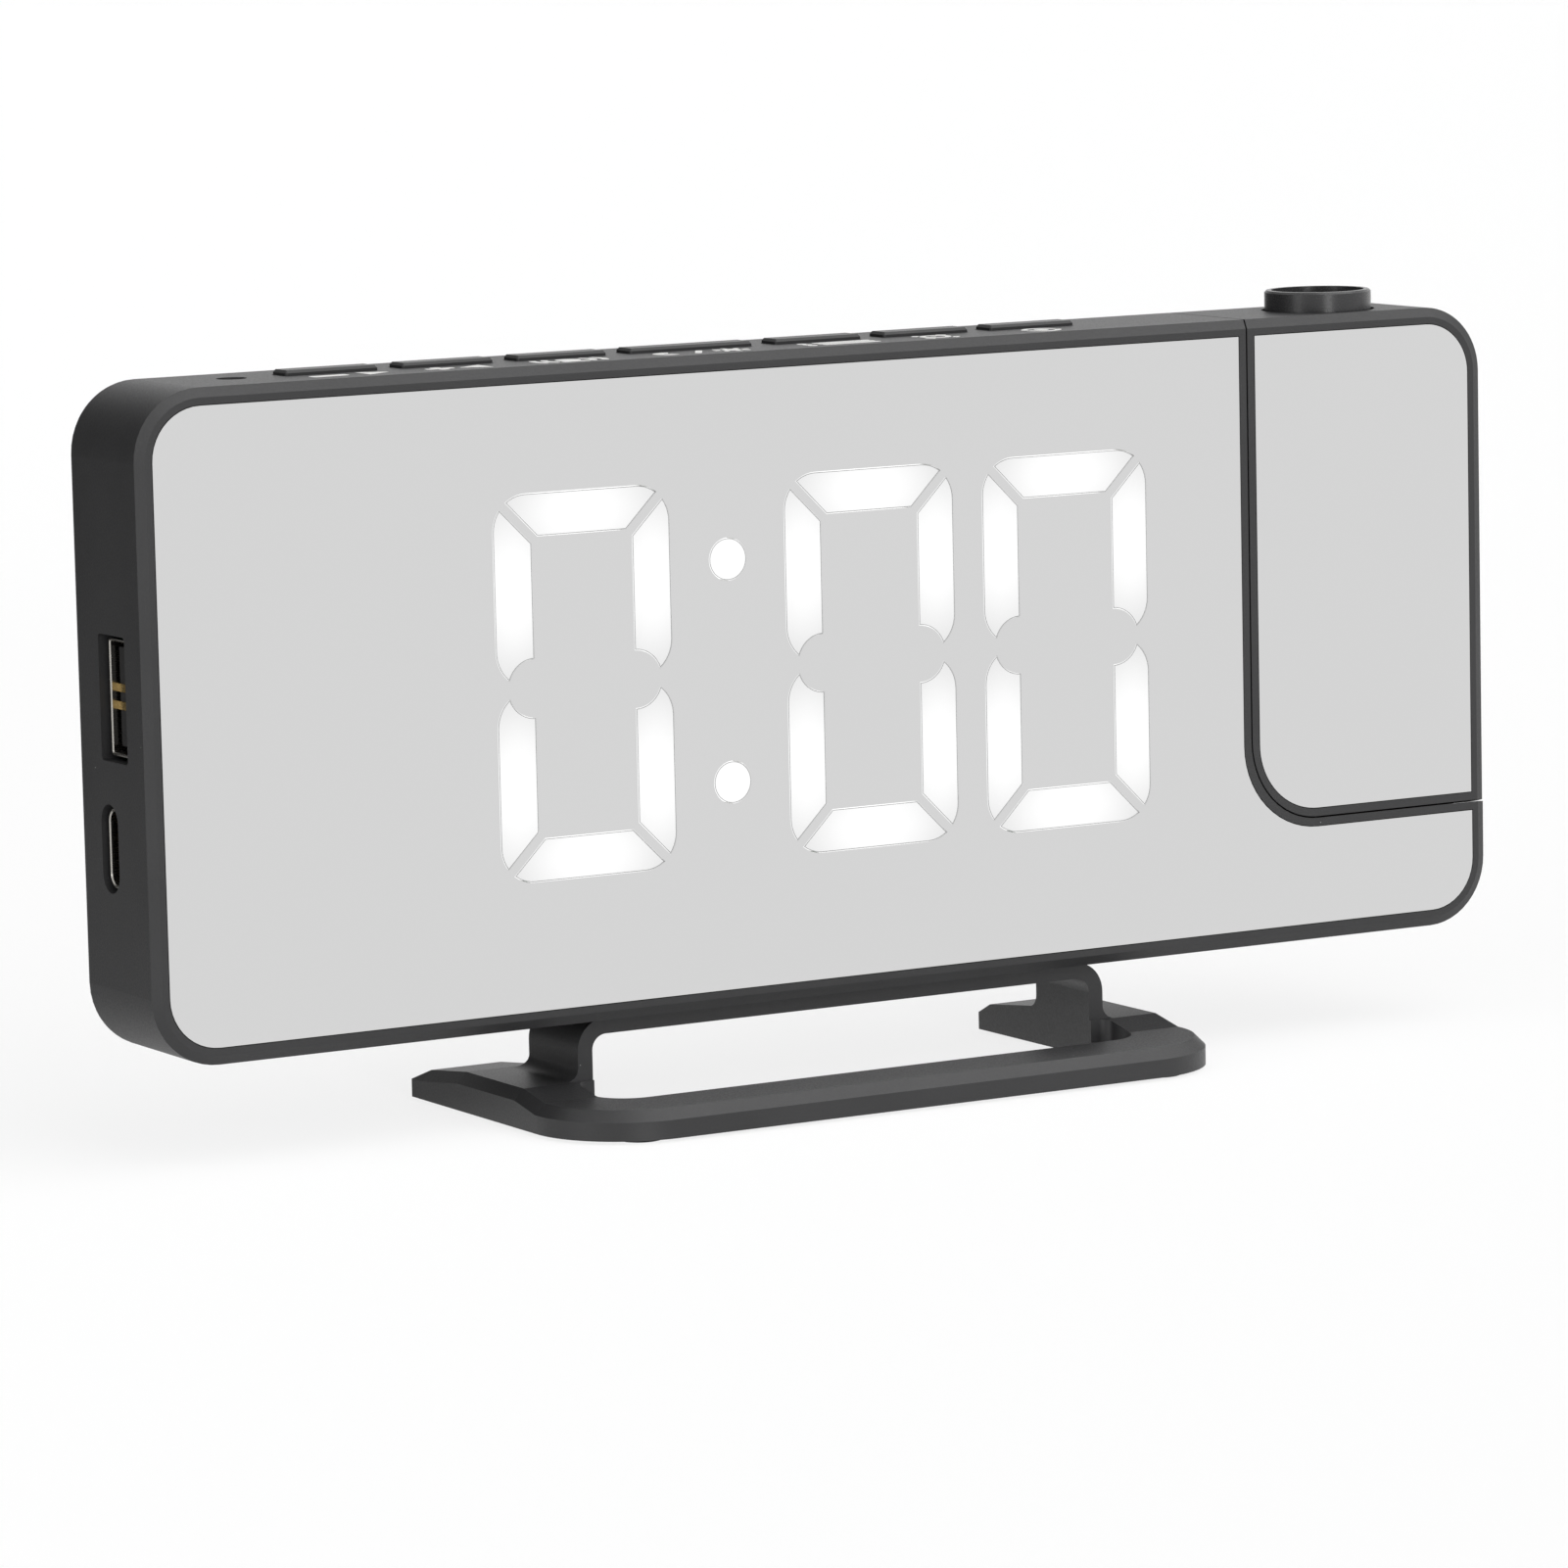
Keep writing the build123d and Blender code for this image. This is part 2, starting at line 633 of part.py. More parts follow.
def top_segment(grow):
    """Top segment of the same digit."""
    half_w, half_h, width = digit_w / 2 + grow, digit_h / 2 + grow, bar_w + 2 * grow
    with BuildSketch() as segment:
        Rectangle(2 * half_w, 2 * half_h)
        fillet(segment.vertices(), segment_r + grow)
        with Locations((0, half_h - width)):
            Rectangle(2 * digit_w, 2 * digit_h, align=(MID, HIGH), mode=Mode.SUBTRACT)
        for side, turn in ((-1, -45), (1, 45)):
            with Locations(Location((side * digit_w / 2, digit_h / 2, 0), (0, 0, turn))):
                with Locations((0, segment_gap / 2 - grow)):
                    Rectangle(2 * digit_w, 2 * digit_w, align=(MID, HIGH), mode=Mode.SUBTRACT)
    return segment.sketch


def segment_ring(grow):
    """The six segments round a digit."""
    with BuildSketch() as ring:
        add(upright_segment(grow))
        mirror(about=Plane.YZ)
        add(top_segment(grow))
        mirror(about=Plane.XZ)
    return ring.sketch


digit_spots = [(display_x + x, display_up) for x in digit_xs]
colon_spots = [(display_x, display_up + side * colon_apart / 2) for side in (-1, 1)]


def lit_outline(grow):
    """Segments that are lit: the colon, and the rings of the last three digits."""
    ring = segment_ring(grow)
    with BuildSketch() as lit:
        with Locations(*digit_spots[1:]):
            add(ring)
        with Locations(*colon_spots):
            Circle(colon_r + grow)
    return lit.sketch


def unlit_outline(grow):
    """Segments that are dark: the first digit's ring, and the bar across the middle of every digit."""
    ring = segment_ring(grow)
    with BuildSketch() as unlit:
        with Locations(digit_spots[0]):
            add(ring)
        with Locations(*digit_spots):
            SlotCenterToCenter(digit_w - 2 * bar_w, 2 * (segment_notch_r - segment_gap + grow))
    return unlit.sketch


with BuildPart() as main_mirror_panel:
    add(prism(face_outline(rim_w + fit_gap) - bay_outline(seam_rim + fit_gap), 0, panel_t))
    with BuildSketch(face_plane(panel_t)):
        add(lit_outline(window_gap))
    extrude(amount=panel_t, mode=Mode.SUBTRACT)
main_mirror_panel.part.label = "main_mirror_panel"
export_step(main_mirror_panel.part, "parts/main_mirror_panel.step")

with BuildPart() as lit_segments:
    with BuildSketch(face_plane(panel_t + segment_t)):
        add(lit_outline(0))
    extrude(amount=panel_t + segment_t)
lit_segments.part.label = "lit_segments"
export_step(lit_segments.part, "parts/lit_segments.step")

with BuildPart() as unlit_segments:
    with BuildSketch(face_plane(panel_t + segment_t)):
        add(unlit_outline(0))
    extrude(amount=segment_t - fit_gap)
unlit_segments.part.label = "unlit_segments"
export_step(unlit_segments.part, "parts/unlit_segments.step")

with BuildPart() as display_reflector:
    with BuildSketch(face_plane(display_board_depth)):
        with Locations((display_x, display_up)):
            Rectangle(2 * display_half_w, reflector_h)
    extrude(amount=reflector_d - fit_gap)
    with BuildSketch(face_plane(display_board_depth)):
        add(lit_outline(fit_gap))
        add(unlit_outline(fit_gap))
    extrude(amount=reflector_d, mode=Mode.SUBTRACT)
display_reflector.part.label = "display_reflector"
export_step(display_reflector.part, "parts/display_reflector.step")

display_board_h = reflector_h + 2 * display_board_margin

with BuildPart() as display_board:
    with BuildSketch(face_plane(display_board_back)):
        with Locations((display_x, display_up)):
            Rectangle(2 * display_half_w, display_board_h)
    extrude(amount=board_t)
display_board.part.label = "display_board"
export_step(display_board.part, "parts/display_board.step")

lamp_spots = list(colon_spots)
for digit_x, digit_up in digit_spots:
    lamp_spots += [(digit_x, digit_up + step * (digit_h - bar_w) / 2) for step in (-1, 0, 1)]
    lamp_spots += [
        (digit_x + side * (digit_w - bar_w) / 2, digit_up + step * digit_h / 4)
        for side in (-1, 1)
        for step in (-1, 1)
    ]

with BuildPart() as segment_lamps:
    with BuildSketch(face_plane(display_board_depth)):
        with Locations(*lamp_spots):
            Rectangle(lamp_size, lamp_size)
    extrude(amount=lamp_t)
segment_lamps.part.label = "segment_lamps"
export_step(segment_lamps.part, "parts/segment_lamps.step")

# ----------------------------------------------------------------------- main board and sockets

with BuildPart() as main_board:
    with BuildSketch(face_plane(main_board_depth + board_t)):
        with Locations((main_board_x, display_up)):
            Rectangle(main_board_w, main_board_h, align=(LOW, MID))
    extrude(amount=board_t)
main_board.part.label = "main_board"
export_step(main_board.part, "parts/main_board.step")

# chips: left of the board's right edge, above its middle, width, height
chip_sizes = [
    (28.0, 8.0, 10.0, 10.0),
    (26.0, -10.0, 5.0, 4.0),
    (16.0, 10.0, 3.2, 6.0),
    (14.0, -8.0, 6.0, 5.0),
]

with BuildPart() as board_chips:
    with BuildSketch(face_plane(main_board_depth + board_t + chip_t)):
        for chip_x, chip_up, chip_w, chip_h in chip_sizes:
            with Locations((main_board_right - chip_x, display_up + chip_up)):
                Rectangle(chip_w, chip_h)
    extrude(amount=chip_t)
board_chips.part.label = "board_chips"
export_step(board_chips.part, "parts/board_chips.step")

with BuildPart() as board_header:
    with BuildSketch(face_plane(main_board_depth)):
        with Locations((main_board_right - header_in, display_up)):
            Rectangle(header_w, header_len)
    extrude(amount=main_board_depth - display_board_back)
board_header.part.label = "board_header"
export_step(board_header.part, "parts/board_header.step")

with BuildPart() as board_spacers:
    with BuildSketch(face_plane(main_board_depth)):
        with Locations(*[(main_post_xs[0], up - body_h / 2) for up in main_post_ups]):
            Circle(spacer_r)
    extrude(amount=main_board_depth - display_board_back)
board_spacers.part.label = "board_spacers"
export_step(board_spacers.part, "parts/board_spacers.step")


def socket_shell(outline_w, outline_h, length, corner_r, mouth_x, y, z):
    """Drawn metal shell of a socket, open to the left, with a closed back."""
    with BuildPart() as shell:
        with BuildSketch(Plane.YZ.offset(mouth_x)):
            with Locations((y, z)):
                RectangleRounded(outline_h, outline_w, corner_r)
        extrude(amount=length)
        with BuildSketch(Plane.YZ.offset(mouth_x)):
            with Locations((y, z)):
                RectangleRounded(
                    outline_h - 2 * usb_shell_t, outline_w - 2 * usb_shell_t, corner_r - usb_shell_t
                )
        extrude(amount=length - usb_shell_t, mode=Mode.SUBTRACT)
        mouth = shell.faces().filter_by(Axis.X).sort_by(Axis.X)[0]
        chamfer(mouth.inner_wires()[0].edges(), usb_lip)
    return shell.part


def socket_tongue(width, thickness, sink, length, mouth_x, y, z):
    """Contact tongue of a socket, standing on the back of its shell."""
    with BuildPart() as tongue:
        with BuildSketch(Plane.YZ.offset(mouth_x + sink)):
            with Locations((y, z)):
                RectangleRounded(thickness, width, usb_tongue_corner_r)
        extrude(amount=length - usb_shell_t - sink)
    return tongue.part


usb_a_tongue_y = usb_a_y + usb_a_h / 2 - usb_shell_t - usb_a_tongue_gap - usb_a_tongue_t / 2
usb_c_corner_r = usb_c_h / 2 - 0.01

with BuildPart() as usb_a_shell:
    add(socket_shell(usb_a_w, usb_a_h, usb_a_len, usb_a_corner_r, usb_a_mouth_x, usb_a_y, usb_a_z))
usb_a_shell.part.label = "usb_a_shell"
export_step(usb_a_shell.part, "parts/usb_a_shell.step")

with BuildPart() as usb_a_tongue:
    add(
        socket_tongue(
            usb_a_tongue_w, usb_a_tongue_t, usb_a_tongue_sink, usb_a_len, usb_a_mouth_x, usb_a_tongue_y, usb_a_z
        )
    )
    # base that carries the shell on the board
    with Locations((main_board_x, usb_a_y + usb_a_h / 2, usb_a_z)):
        Box(
            usb_a_mouth_x + usb_a_len - main_board_x, usb_a_base, usb_a_tongue_w, align=(LOW, LOW, MID)
        )
usb_a_tongue.part.label = "usb_a_tongue"
export_step(usb_a_tongue.part, "parts/usb_a_tongue.step")

with BuildPart() as usb_c_shell:
    add(socket_shell(usb_c_w, usb_c_h, usb_c_len, usb_c_corner_r, usb_c_mouth_x, usb_c_y, usb_c_z))
usb_c_shell.part.label = "usb_c_shell"
export_step(usb_c_shell.part, "parts/usb_c_shell.step")

with BuildPart() as usb_c_tongue:
    add(
        socket_tongue(
            usb_c_tongue_w, usb_c_tongue_t, usb_c_tongue_sink, usb_c_len, usb_c_mouth_x, usb_c_y, usb_c_z
        )
    )
usb_c_tongue.part.label = "usb_c_tongue"
export_step(usb_c_tongue.part, "parts/usb_c_tongue.step")

# --------------------------------------------------------------------- loudspeaker and spare cell

with BuildPart() as speaker:
    with Locations(*facing_front([at(speaker_x, cover_front, speaker_up)])):
        Cylinder(speaker_r, speaker_rim_t, align=(MID, MID, LOW))
        Cylinder(magnet_r, speaker_t, align=(MID, MID, LOW))
speaker.part.label = "speaker"
export_step(speaker.part, "parts/speaker.step")

cell_depth = display_board_back + holder_floor

with BuildPart() as battery_holder:
    with Locations(*facing_back([at(battery_x, display_board_back, cell_up)])):
        Cylinder(cell_r + fit_gap + holder_wall, holder_floor + cell_t + holder_rise, align=(MID, MID, LOW))
    with Locations(*facing_back([at(battery_x, cell_depth, cell_up)])):
        Cylinder(cell_r + fit_gap, cell_t + past, align=(MID, MID, LOW), mode=Mode.SUBTRACT)
battery_holder.part.label = "battery_holder"
export_step(battery_holder.part, "parts/battery_holder.step")

with BuildPart() as coin_cell:
    with Locations(*facing_back([at(battery_x, cell_depth, cell_up)])):
        Cylinder(cell_r, cell_t, align=(MID, MID, LOW))
    chamfer(coin_cell.faces().sort_by(Axis.Y)[-1].edges(), 0.2)
coin_cell.part.label = "coin_cell"
export_step(coin_cell.part, "parts/coin_cell.step")

# ------------------------------------------------------------------------ keys and their board

key_board_left = sensor_x - sensor_board_left
key_board_right = key_row_left + key_row_w + key_board_past

with BuildPart() as key_board:
    with BuildSketch(Plane.XY.offset(key_board_z - board_t)):
        with Locations((key_board_left, key_y)):
            Rectangle(key_board_right - key_board_left, key_board_d, align=(LOW, MID))
        with Locations(*[(x, key_y) for x in key_post_xs]):
            Circle(stake_r + press_gap, mode=Mode.SUBTRACT)
    extrude(amount=board_t)
key_board.part.label = "key_board"
export_step(key_board.part, "parts/key_board.step")

with BuildPart() as key_switches:
    with Locations(*[(x, key_y, key_board_z) for x in key_xs]):
        Box(switch_w, switch_w, switch_h, align=(MID, MID, LOW))
        Cylinder(switch_pin_r, switch_h + switch_pin_h, align=(MID, MID, LOW))
key_switches.part.label = "key_switches"
export_step(key_switches.part, "parts/key_switches.step")

key_stem_low = key_board_z + switch_h + switch_pin_h + key_travel + 0.05

for key_name, key_x, width in zip(key_names, key_xs, key_widths):
    with BuildPart() as key:
        with BuildSketch(Plane.XY.offset(key_inner_z - run_gap)):
            with Locations((key_x, key_y)):
                RectangleRounded(width, key_d, key_corner_r)
        extrude(amount=wall + run_gap + key_proud)
        chamfer(key.faces().sort_by(Axis.Z)[-1].edges(), key_edge)
        with BuildSketch(Plane.XY.offset(key_inner_z - run_gap - key_flange_t)):
            with Locations((key_x, key_y)):
                Rectangle(width, key_d + 2 * (key_slot_gap + key_flange))
        extrude(amount=key_flange_t)
        with BuildSketch(Plane.XY.offset(key_stem_low)):
            with Locations((key_x, key_y)):
                Circle(key_stem_r)
        extrude(amount=key_inner_z - run_gap - key_stem_low)
    key.part.label = key_name
    export_step(key.part, "parts/" + key_name + ".step")

with BuildPart() as light_sensor:
    with Locations((sensor_x, key_y, key_board_z)):
        Cylinder(sensor_r, sensor_h, align=(MID, MID, LOW))
    fillet(light_sensor.faces().sort_by(Axis.Z)[-1].edges(), sensor_r / 2)
light_sensor.part.label = "light_sensor"
export_step(light_sensor.part, "parts/light_sensor.step")

with BuildPart() as sensor_window:
    with Locations((sensor_x, key_y, key_inner_z)):
        Cylinder(sensor_hole_r + sensor_flange, sensor_flange, align=(MID, MID, HIGH))
        Cylinder(sensor_hole_r - run_gap, wall - sensor_window_sink, align=(MID, MID, LOW))
sensor_window.part.label = "sensor_window"
export_step(sensor_window.part, "parts/sensor_window.step")

# ------------------------------------------------------------------------------ projector housing

shelf_z = bottom_z + projector_low + shelf_up
slide_top_z = top_z - slide_drop
sleeve_low = top_z - sleeve_len
barrel_low = top_z - barrel_len


def on_focus_axis(z):
    """Point of the focus axis at height `z`."""
    return (focus_x, hinge_y, z)


with BuildPart() as projector_cavity:
    add(prism(face_outline(wall, -projector_inset), ledge_back, projector_cover_front))
    add(bay_region(-seam_gap - wall), mode=Mode.INTERSECT)



def projector_outline(inset, seam_inset):
    """The projector seen from the front, drawn in by `inset`, and by `seam_inset` along the seam."""
    return face_outline(inset, -projector_inset) & bay_outline(-seam_gap - seam_inset)



with BuildPart() as projector_housing:
    add(body_block(projector_d, -projector_inset))
    add(bay_region(-seam_gap), mode=Mode.INTERSECT)
    # mirror recess and ledge, cavity, and recess of the rear cover
    add(prism(projector_outline(rim_w, seam_rim), 0, panel_t), mode=Mode.SUBTRACT)
    add(
        prism(projector_outline(rim_w + ledge_w, seam_rim + ledge_w), panel_t, ledge_back),
        mode=Mode.SUBTRACT,
    )
    add(projector_cavity.part, mode=Mode.SUBTRACT)
    add(
        prism(projector_outline(cover_lip, cover_lip), projector_cover_front, projector_d),
        mode=Mode.SUBTRACT,
    )
    # sleeve of the focus barrel, hanging from the top wall
    with Locations(on_focus_axis(top_z - wall / 2)):
        Cylinder(barrel_r + run_gap + sleeve_wall, sleeve_len - wall / 2, align=(MID, MID, HIGH))
    # hinge boss on the left wall, bosses of the cover screws, shelf of the lamp's board
    with Locations(on_tilt_line(projector_face + wall)):
        Cylinder(axle_r + hinge_boss_wall, hinge_boss_len, align=(MID, MID, LOW))
    with Locations(*facing_back([(x, y - cover_t, z) for x, y, z in projector_screw_places])):
        Cylinder(boss_r, projector_cover_front - ledge_back, align=(MID, MID, HIGH))
    with Locations(((projector_face + projector_right) / 2, front_y + ledge_back, shelf_z)):
        Box(
            projector_right - projector_face - wall, projector_cover_front - ledge_back, wall,
            align=(MID, LOW, HIGH),
        )
    # holes: focus barrel and knob, hinge axle, cover screws
    with Locations(on_focus_axis(top_z + past)):
        Cylinder(barrel_r + run_gap, 2 * past + sleeve_len, align=(MID, MID, HIGH), mode=Mode.SUBTRACT)
        Cylinder(knob_r + knob_sink_gap, past + knob_sink, align=(MID, MID, HIGH), mode=Mode.SUBTRACT)
    with Locations(on_tilt_line(projector_face - past)):
        Cylinder(
            axle_r + press_gap, 2 * past + wall + hinge_boss_len, align=(MID, MID, LOW), mode=Mode.SUBTRACT
        )
    with Locations(*facing_back(projector_screw_places)):
        add(bored, mode=Mode.SUBTRACT)
projector_housing.part.label = "projector_housing"
export_step(projector_housing.part, "parts/projector_housing.step")

projector_cover_outline = projector_outline(cover_lip + fit_gap, cover_lip + fit_gap)

with BuildPart() as projector_rear_cover:
    add(prism(projector_cover_outline, projector_cover_front, projector_d))
    chamfer(projector_rear_cover.faces().sort_by(Axis.Y)[-1].edges(), cover_edge)
    with Locations(*facing_back(projector_screw_places)):
        add(bored, mode=Mode.SUBTRACT)
projector_rear_cover.part.label = "projector_rear_cover"
export_step(projector_rear_cover.part, "parts/projector_rear_cover.step")

with BuildPart() as projector_mirror_panel:
    add(prism(projector_outline(rim_w + fit_gap, seam_rim + fit_gap), 0, panel_t))
projector_mirror_panel.part.label = "projector_mirror_panel"
export_step(projector_mirror_panel.part, "parts/projector_mirror_panel.step")

with BuildPart() as projector_screws:
    with Locations(*facing_back(projector_screw_places)):
        add(screw)
projector_screws.part.label = "projector_screws"
export_step(projector_screws.part, "parts/projector_screws.step")

# ----------------------------------------------------------------------------- hinge of the projector

axle_right_x = projector_face + wall + hinge_boss_len
washer_x = seam_x - wall - hinge_boss_len - run_gap
clip_x = washer_x - washer_t - run_gap
axle_left_x = clip_x - clip_t - axle_end


def retaining_clip(outer_r, groove_r, thickness):
    """Open ring that snaps into a groove, centred on the origin."""
    with BuildPart() as clip:
        Cylinder(outer_r, thickness, align=(MID, MID, LOW))
        Cylinder(groove_r, thickness, align=(MID, MID, LOW), mode=Mode.SUBTRACT)
        Box(outer_r * 1.5, groove_r * 1.3, thickness, align=(LOW, MID, LOW), mode=Mode.SUBTRACT)
    return clip.part


hinge_ring = retaining_clip(
    axle_r + clip_past, axle_r - clip_depth + fit_gap / 2, clip_t - 2 * run_gap
)
barrel_ring = retaining_clip(
    barrel_r + barrel_clip_past, barrel_r - clip_depth / 2 + fit_gap / 2, clip_t - 2 * run_gap
)

with BuildPart() as hinge_axle:
    with Locations(on_tilt_line(axle_left_x)):
        Cylinder(axle_r, axle_right_x - axle_left_x, align=(MID, MID, LOW))
        Cylinder(axle_bore_r, axle_right_x - axle_left_x, align=(MID, MID, LOW), mode=Mode.SUBTRACT)
    with BuildSketch(on_tilt_line(clip_x - clip_t)):
        Circle(axle_r)
        Circle(axle_r - clip_depth, mode=Mode.SUBTRACT)
    extrude(amount=clip_t, mode=Mode.SUBTRACT)
hinge_axle.part.label = "hinge_axle"
export_step(hinge_axle.part, "parts/hinge_axle.step")

with BuildPart() as hinge_clip:
    with Locations(on_tilt_line(clip_x - clip_t + run_gap)):
        add(hinge_ring)
hinge_clip.part.label = "hinge_clip"
export_step(hinge_clip.part, "parts/hinge_clip.step")

with BuildPart() as hinge_washer:
    with Locations(on_tilt_line(washer_x - washer_t)):
        Cylinder(axle_r + washer_past, washer_t, align=(MID, MID, LOW))
        Cylinder(axle_r + run_gap, washer_t, align=(MID, MID, LOW), mode=Mode.SUBTRACT)
hinge_washer.part.label = "hinge_washer"
export_step(hinge_washer.part, "parts/hinge_washer.step")

# lead to the lamp, straight through the hollow axle, from a socket beside the display board
socket_x = display_right_x + fit_gap + socket_len
lead_end_x = axle_right_x + lead_end
driver_x = focus_x - tunnel_r - driver_from_tunnel

with BuildPart() as lead_socket:
    with Locations((socket_x, hinge_y, hinge_z)):
        Box(socket_len, socket_h, socket_w, align=(HIGH, MID, MID))
lead_socket.part.label = "lead_socket"
export_step(lead_socket.part, "parts/lead_socket.step")

with BuildPart() as projector_lead:
    with Locations(on_tilt_line(socket_x)):
        Cylinder(lead_r, lead_end_x - socket_x, align=(MID, MID, LOW))
projector_lead.part.label = "projector_lead"
export_step(projector_lead.part, "parts/projector_lead.step")

with BuildPart() as driver_board:
    with Locations((driver_x, front_y + ledge_back + fit_gap, hinge_z)):
        Box(board_t, driver_d, driver_h, align=(HIGH, LOW, MID))
driver_board.part.label = "driver_board"
export_step(driver_board.part, "parts/driver_board.step")

with BuildPart() as driver_socket:
    with Locations((driver_x - board_t, hinge_y, hinge_z)):
        Box(driver_x - board_t - lead_end_x - seam_gap, socket_h, socket_w, align=(HIGH, MID, MID))
driver_socket.part.label = "driver_socket"
export_step(driver_socket.part, "parts/driver_socket.step")

# --------------------------------------------------------------------------------- light path

lamp_board_top = shelf_z + board_t
slide_low_z = slide_top_z - slide_t
condenser_z = lamp_board_top + condenser_up


def lens(radius, edge, bulge):
    """Lens with its flat underside on the plane of the origin and a domed top."""
    ball_r = (radius**2 + bulge**2) / (2 * bulge)
    with BuildPart() as glass:
        Cylinder(radius, edge + bulge, align=(MID, MID, LOW))
        with Locations((0, 0, edge + bulge - ball_r)):
            Sphere(ball_r, mode=Mode.INTERSECT)
    return glass.part


condenser = lens(tunnel_bore_r - fit_gap / 2, condenser_edge, condenser_bulge)
projection_glass = lens(lens_seat_r - fit_gap / 2, lens_edge, lens_bulge)

with BuildPart() as lamp_board:
    with Locations(on_focus_axis(shelf_z)):
        Box(slide_w, slide_d, board_t, align=(MID, MID, LOW))
lamp_board.part.label = "lamp_board"
export_step(lamp_board.part, "parts/lamp_board.step")

with BuildPart() as projector_lamp:
    with Locations(on_focus_axis(lamp_board_top)):
        Cylinder(lamp_base_r, lamp_base_t, align=(MID, MID, LOW))
        Cylinder(lamp_dome_r, lamp_h, align=(MID, MID, LOW))
    fillet(projector_lamp.faces().sort_by(Axis.Z)[-1].edges(), 0.8 * lamp_dome_r)
projector_lamp.part.label = "projector_lamp"
export_step(projector_lamp.part, "parts/projector_lamp.step")

with BuildPart() as light_tunnel:
    with BuildSketch(Plane.XY.offset(lamp_board_top)):
        with Locations((focus_x, hinge_y)):
            Circle(tunnel_r)
    extrude(amount=slide_low_z - lamp_board_top)
    with Locations((driver_x, hinge_y, hinge_z - driver_h / 2)):
        Box(focus_x - driver_x, driver_foot_w, driver_h / 2, align=(LOW, MID, LOW))
    with Locations(on_focus_axis(lamp_board_top)):
        Cylinder(tunnel_bore_r, slide_low_z - lamp_board_top, align=(MID, MID, LOW), mode=Mode.SUBTRACT)
light_tunnel.part.label = "light_tunnel"
export_step(light_tunnel.part, "parts/light_tunnel.step")

with BuildPart() as condenser_lens:
    with Locations(on_focus_axis(condenser_z)):
        add(condenser)
condenser_lens.part.label = "condenser_lens"
export_step(condenser_lens.part, "parts/condenser_lens.step")

with BuildPart() as lcd_slide:
    with Locations(on_focus_axis(slide_low_z)):
        Box(slide_w, slide_d, slide_t, align=(MID, MID, LOW))
lcd_slide.part.label = "lcd_slide"
export_step(lcd_slide.part, "parts/lcd_slide.step")

# ------------------------------------------------------------------------ focus knob and lens cell

cell_top_z = top_z - cell_top
cell_low_z = cell_top_z - cell_h
prong_top_z = cell_top_z - lens_seat_d

with BuildPart() as focus_knob:
    with Locations(on_focus_axis(top_z - knob_sink / 2)):
        Cylinder(knob_r, knob_sink / 2 + knob_h, align=(MID, MID, LOW))
    chamfer(focus_knob.edges().group_by(Axis.Z)[-1], knob_chamfer)
    with Locations(on_focus_axis(barrel_low)):
        Cylinder(barrel_r, barrel_len, align=(MID, MID, LOW))
    with Locations(on_focus_axis(top_z + knob_h)):
        Cylinder(knob_r - knob_rim, knob_cup_d, align=(MID, MID, HIGH), mode=Mode.SUBTRACT)
        Cylinder(aperture_r, knob_h + barrel_roof, align=(MID, MID, HIGH), mode=Mode.SUBTRACT)
    with Locations(on_focus_axis(barrel_low)):
        Cylinder(barrel_bore_r, barrel_len - barrel_roof, align=(MID, MID, LOW), mode=Mode.SUBTRACT)
    with BuildSketch(Plane.XY.offset(sleeve_low - clip_t)):
        with Locations((focus_x, hinge_y)):
            Circle(barrel_r)
            Circle(barrel_r - clip_depth / 2, mode=Mode.SUBTRACT)
    extrude(amount=clip_t - run_gap, mode=Mode.SUBTRACT)
focus_knob.part.label = "focus_knob"
export_step(focus_knob.part, "parts/focus_knob.step")

with BuildPart() as barrel_clip:
    with Locations(on_focus_axis(sleeve_low - clip_t + run_gap / 2)):
        add(barrel_ring)
barrel_clip.part.label = "barrel_clip"
export_step(barrel_clip.part, "parts/barrel_clip.step")

with BuildPart() as lens_guide:
    with Locations(on_focus_axis(slide_top_z)):
        Cylinder(tunnel_r - guide_ring_in, guide_ring_t, align=(MID, MID, LOW))
        Cylinder(prong_in_r, guide_ring_t, align=(MID, MID, LOW), mode=Mode.SUBTRACT)
        for side, align_x in ((-1, HIGH), (1, LOW)):
            with Locations((side * prong_in_r, 0, 0)):
                Box(guide_prong_t, guide_prong_w, prong_top_z - slide_top_z, align=(align_x, MID, LOW))
lens_guide.part.label = "lens_guide"
export_step(lens_guide.part, "parts/lens_guide.step")

with BuildPart() as lens_cell:
    with Locations(on_focus_axis(cell_low_z)):
        Cylinder(barrel_bore_r - run_gap, cell_h, align=(MID, MID, LOW))
        Cylinder(cell_bore_r, cell_h, align=(MID, MID, LOW), mode=Mode.SUBTRACT)
        for side, align_x in ((-1, HIGH), (1, LOW)):
            with Locations((side * groove_in_r, 0, 0)):
                Box(
                    barrel_r, guide_prong_w + 2 * guide_gap, cell_h, align=(align_x, MID, LOW),
                    mode=Mode.SUBTRACT,
                )
    with Locations(on_focus_axis(cell_top_z)):
        Cylinder(lens_seat_r, lens_seat_d, align=(MID, MID, HIGH), mode=Mode.SUBTRACT)
lens_cell.part.label = "lens_cell"
export_step(lens_cell.part, "parts/lens_cell.step")

with BuildPart() as projection_lens:
    with Locations(on_focus_axis(cell_top_z - lens_seat_d)):
        add(projection_glass)
projection_lens.part.label = "projection_lens"
export_step(projection_lens.part, "parts/projection_lens.step")

# ----------------------------------------------------------------------------------------- stand

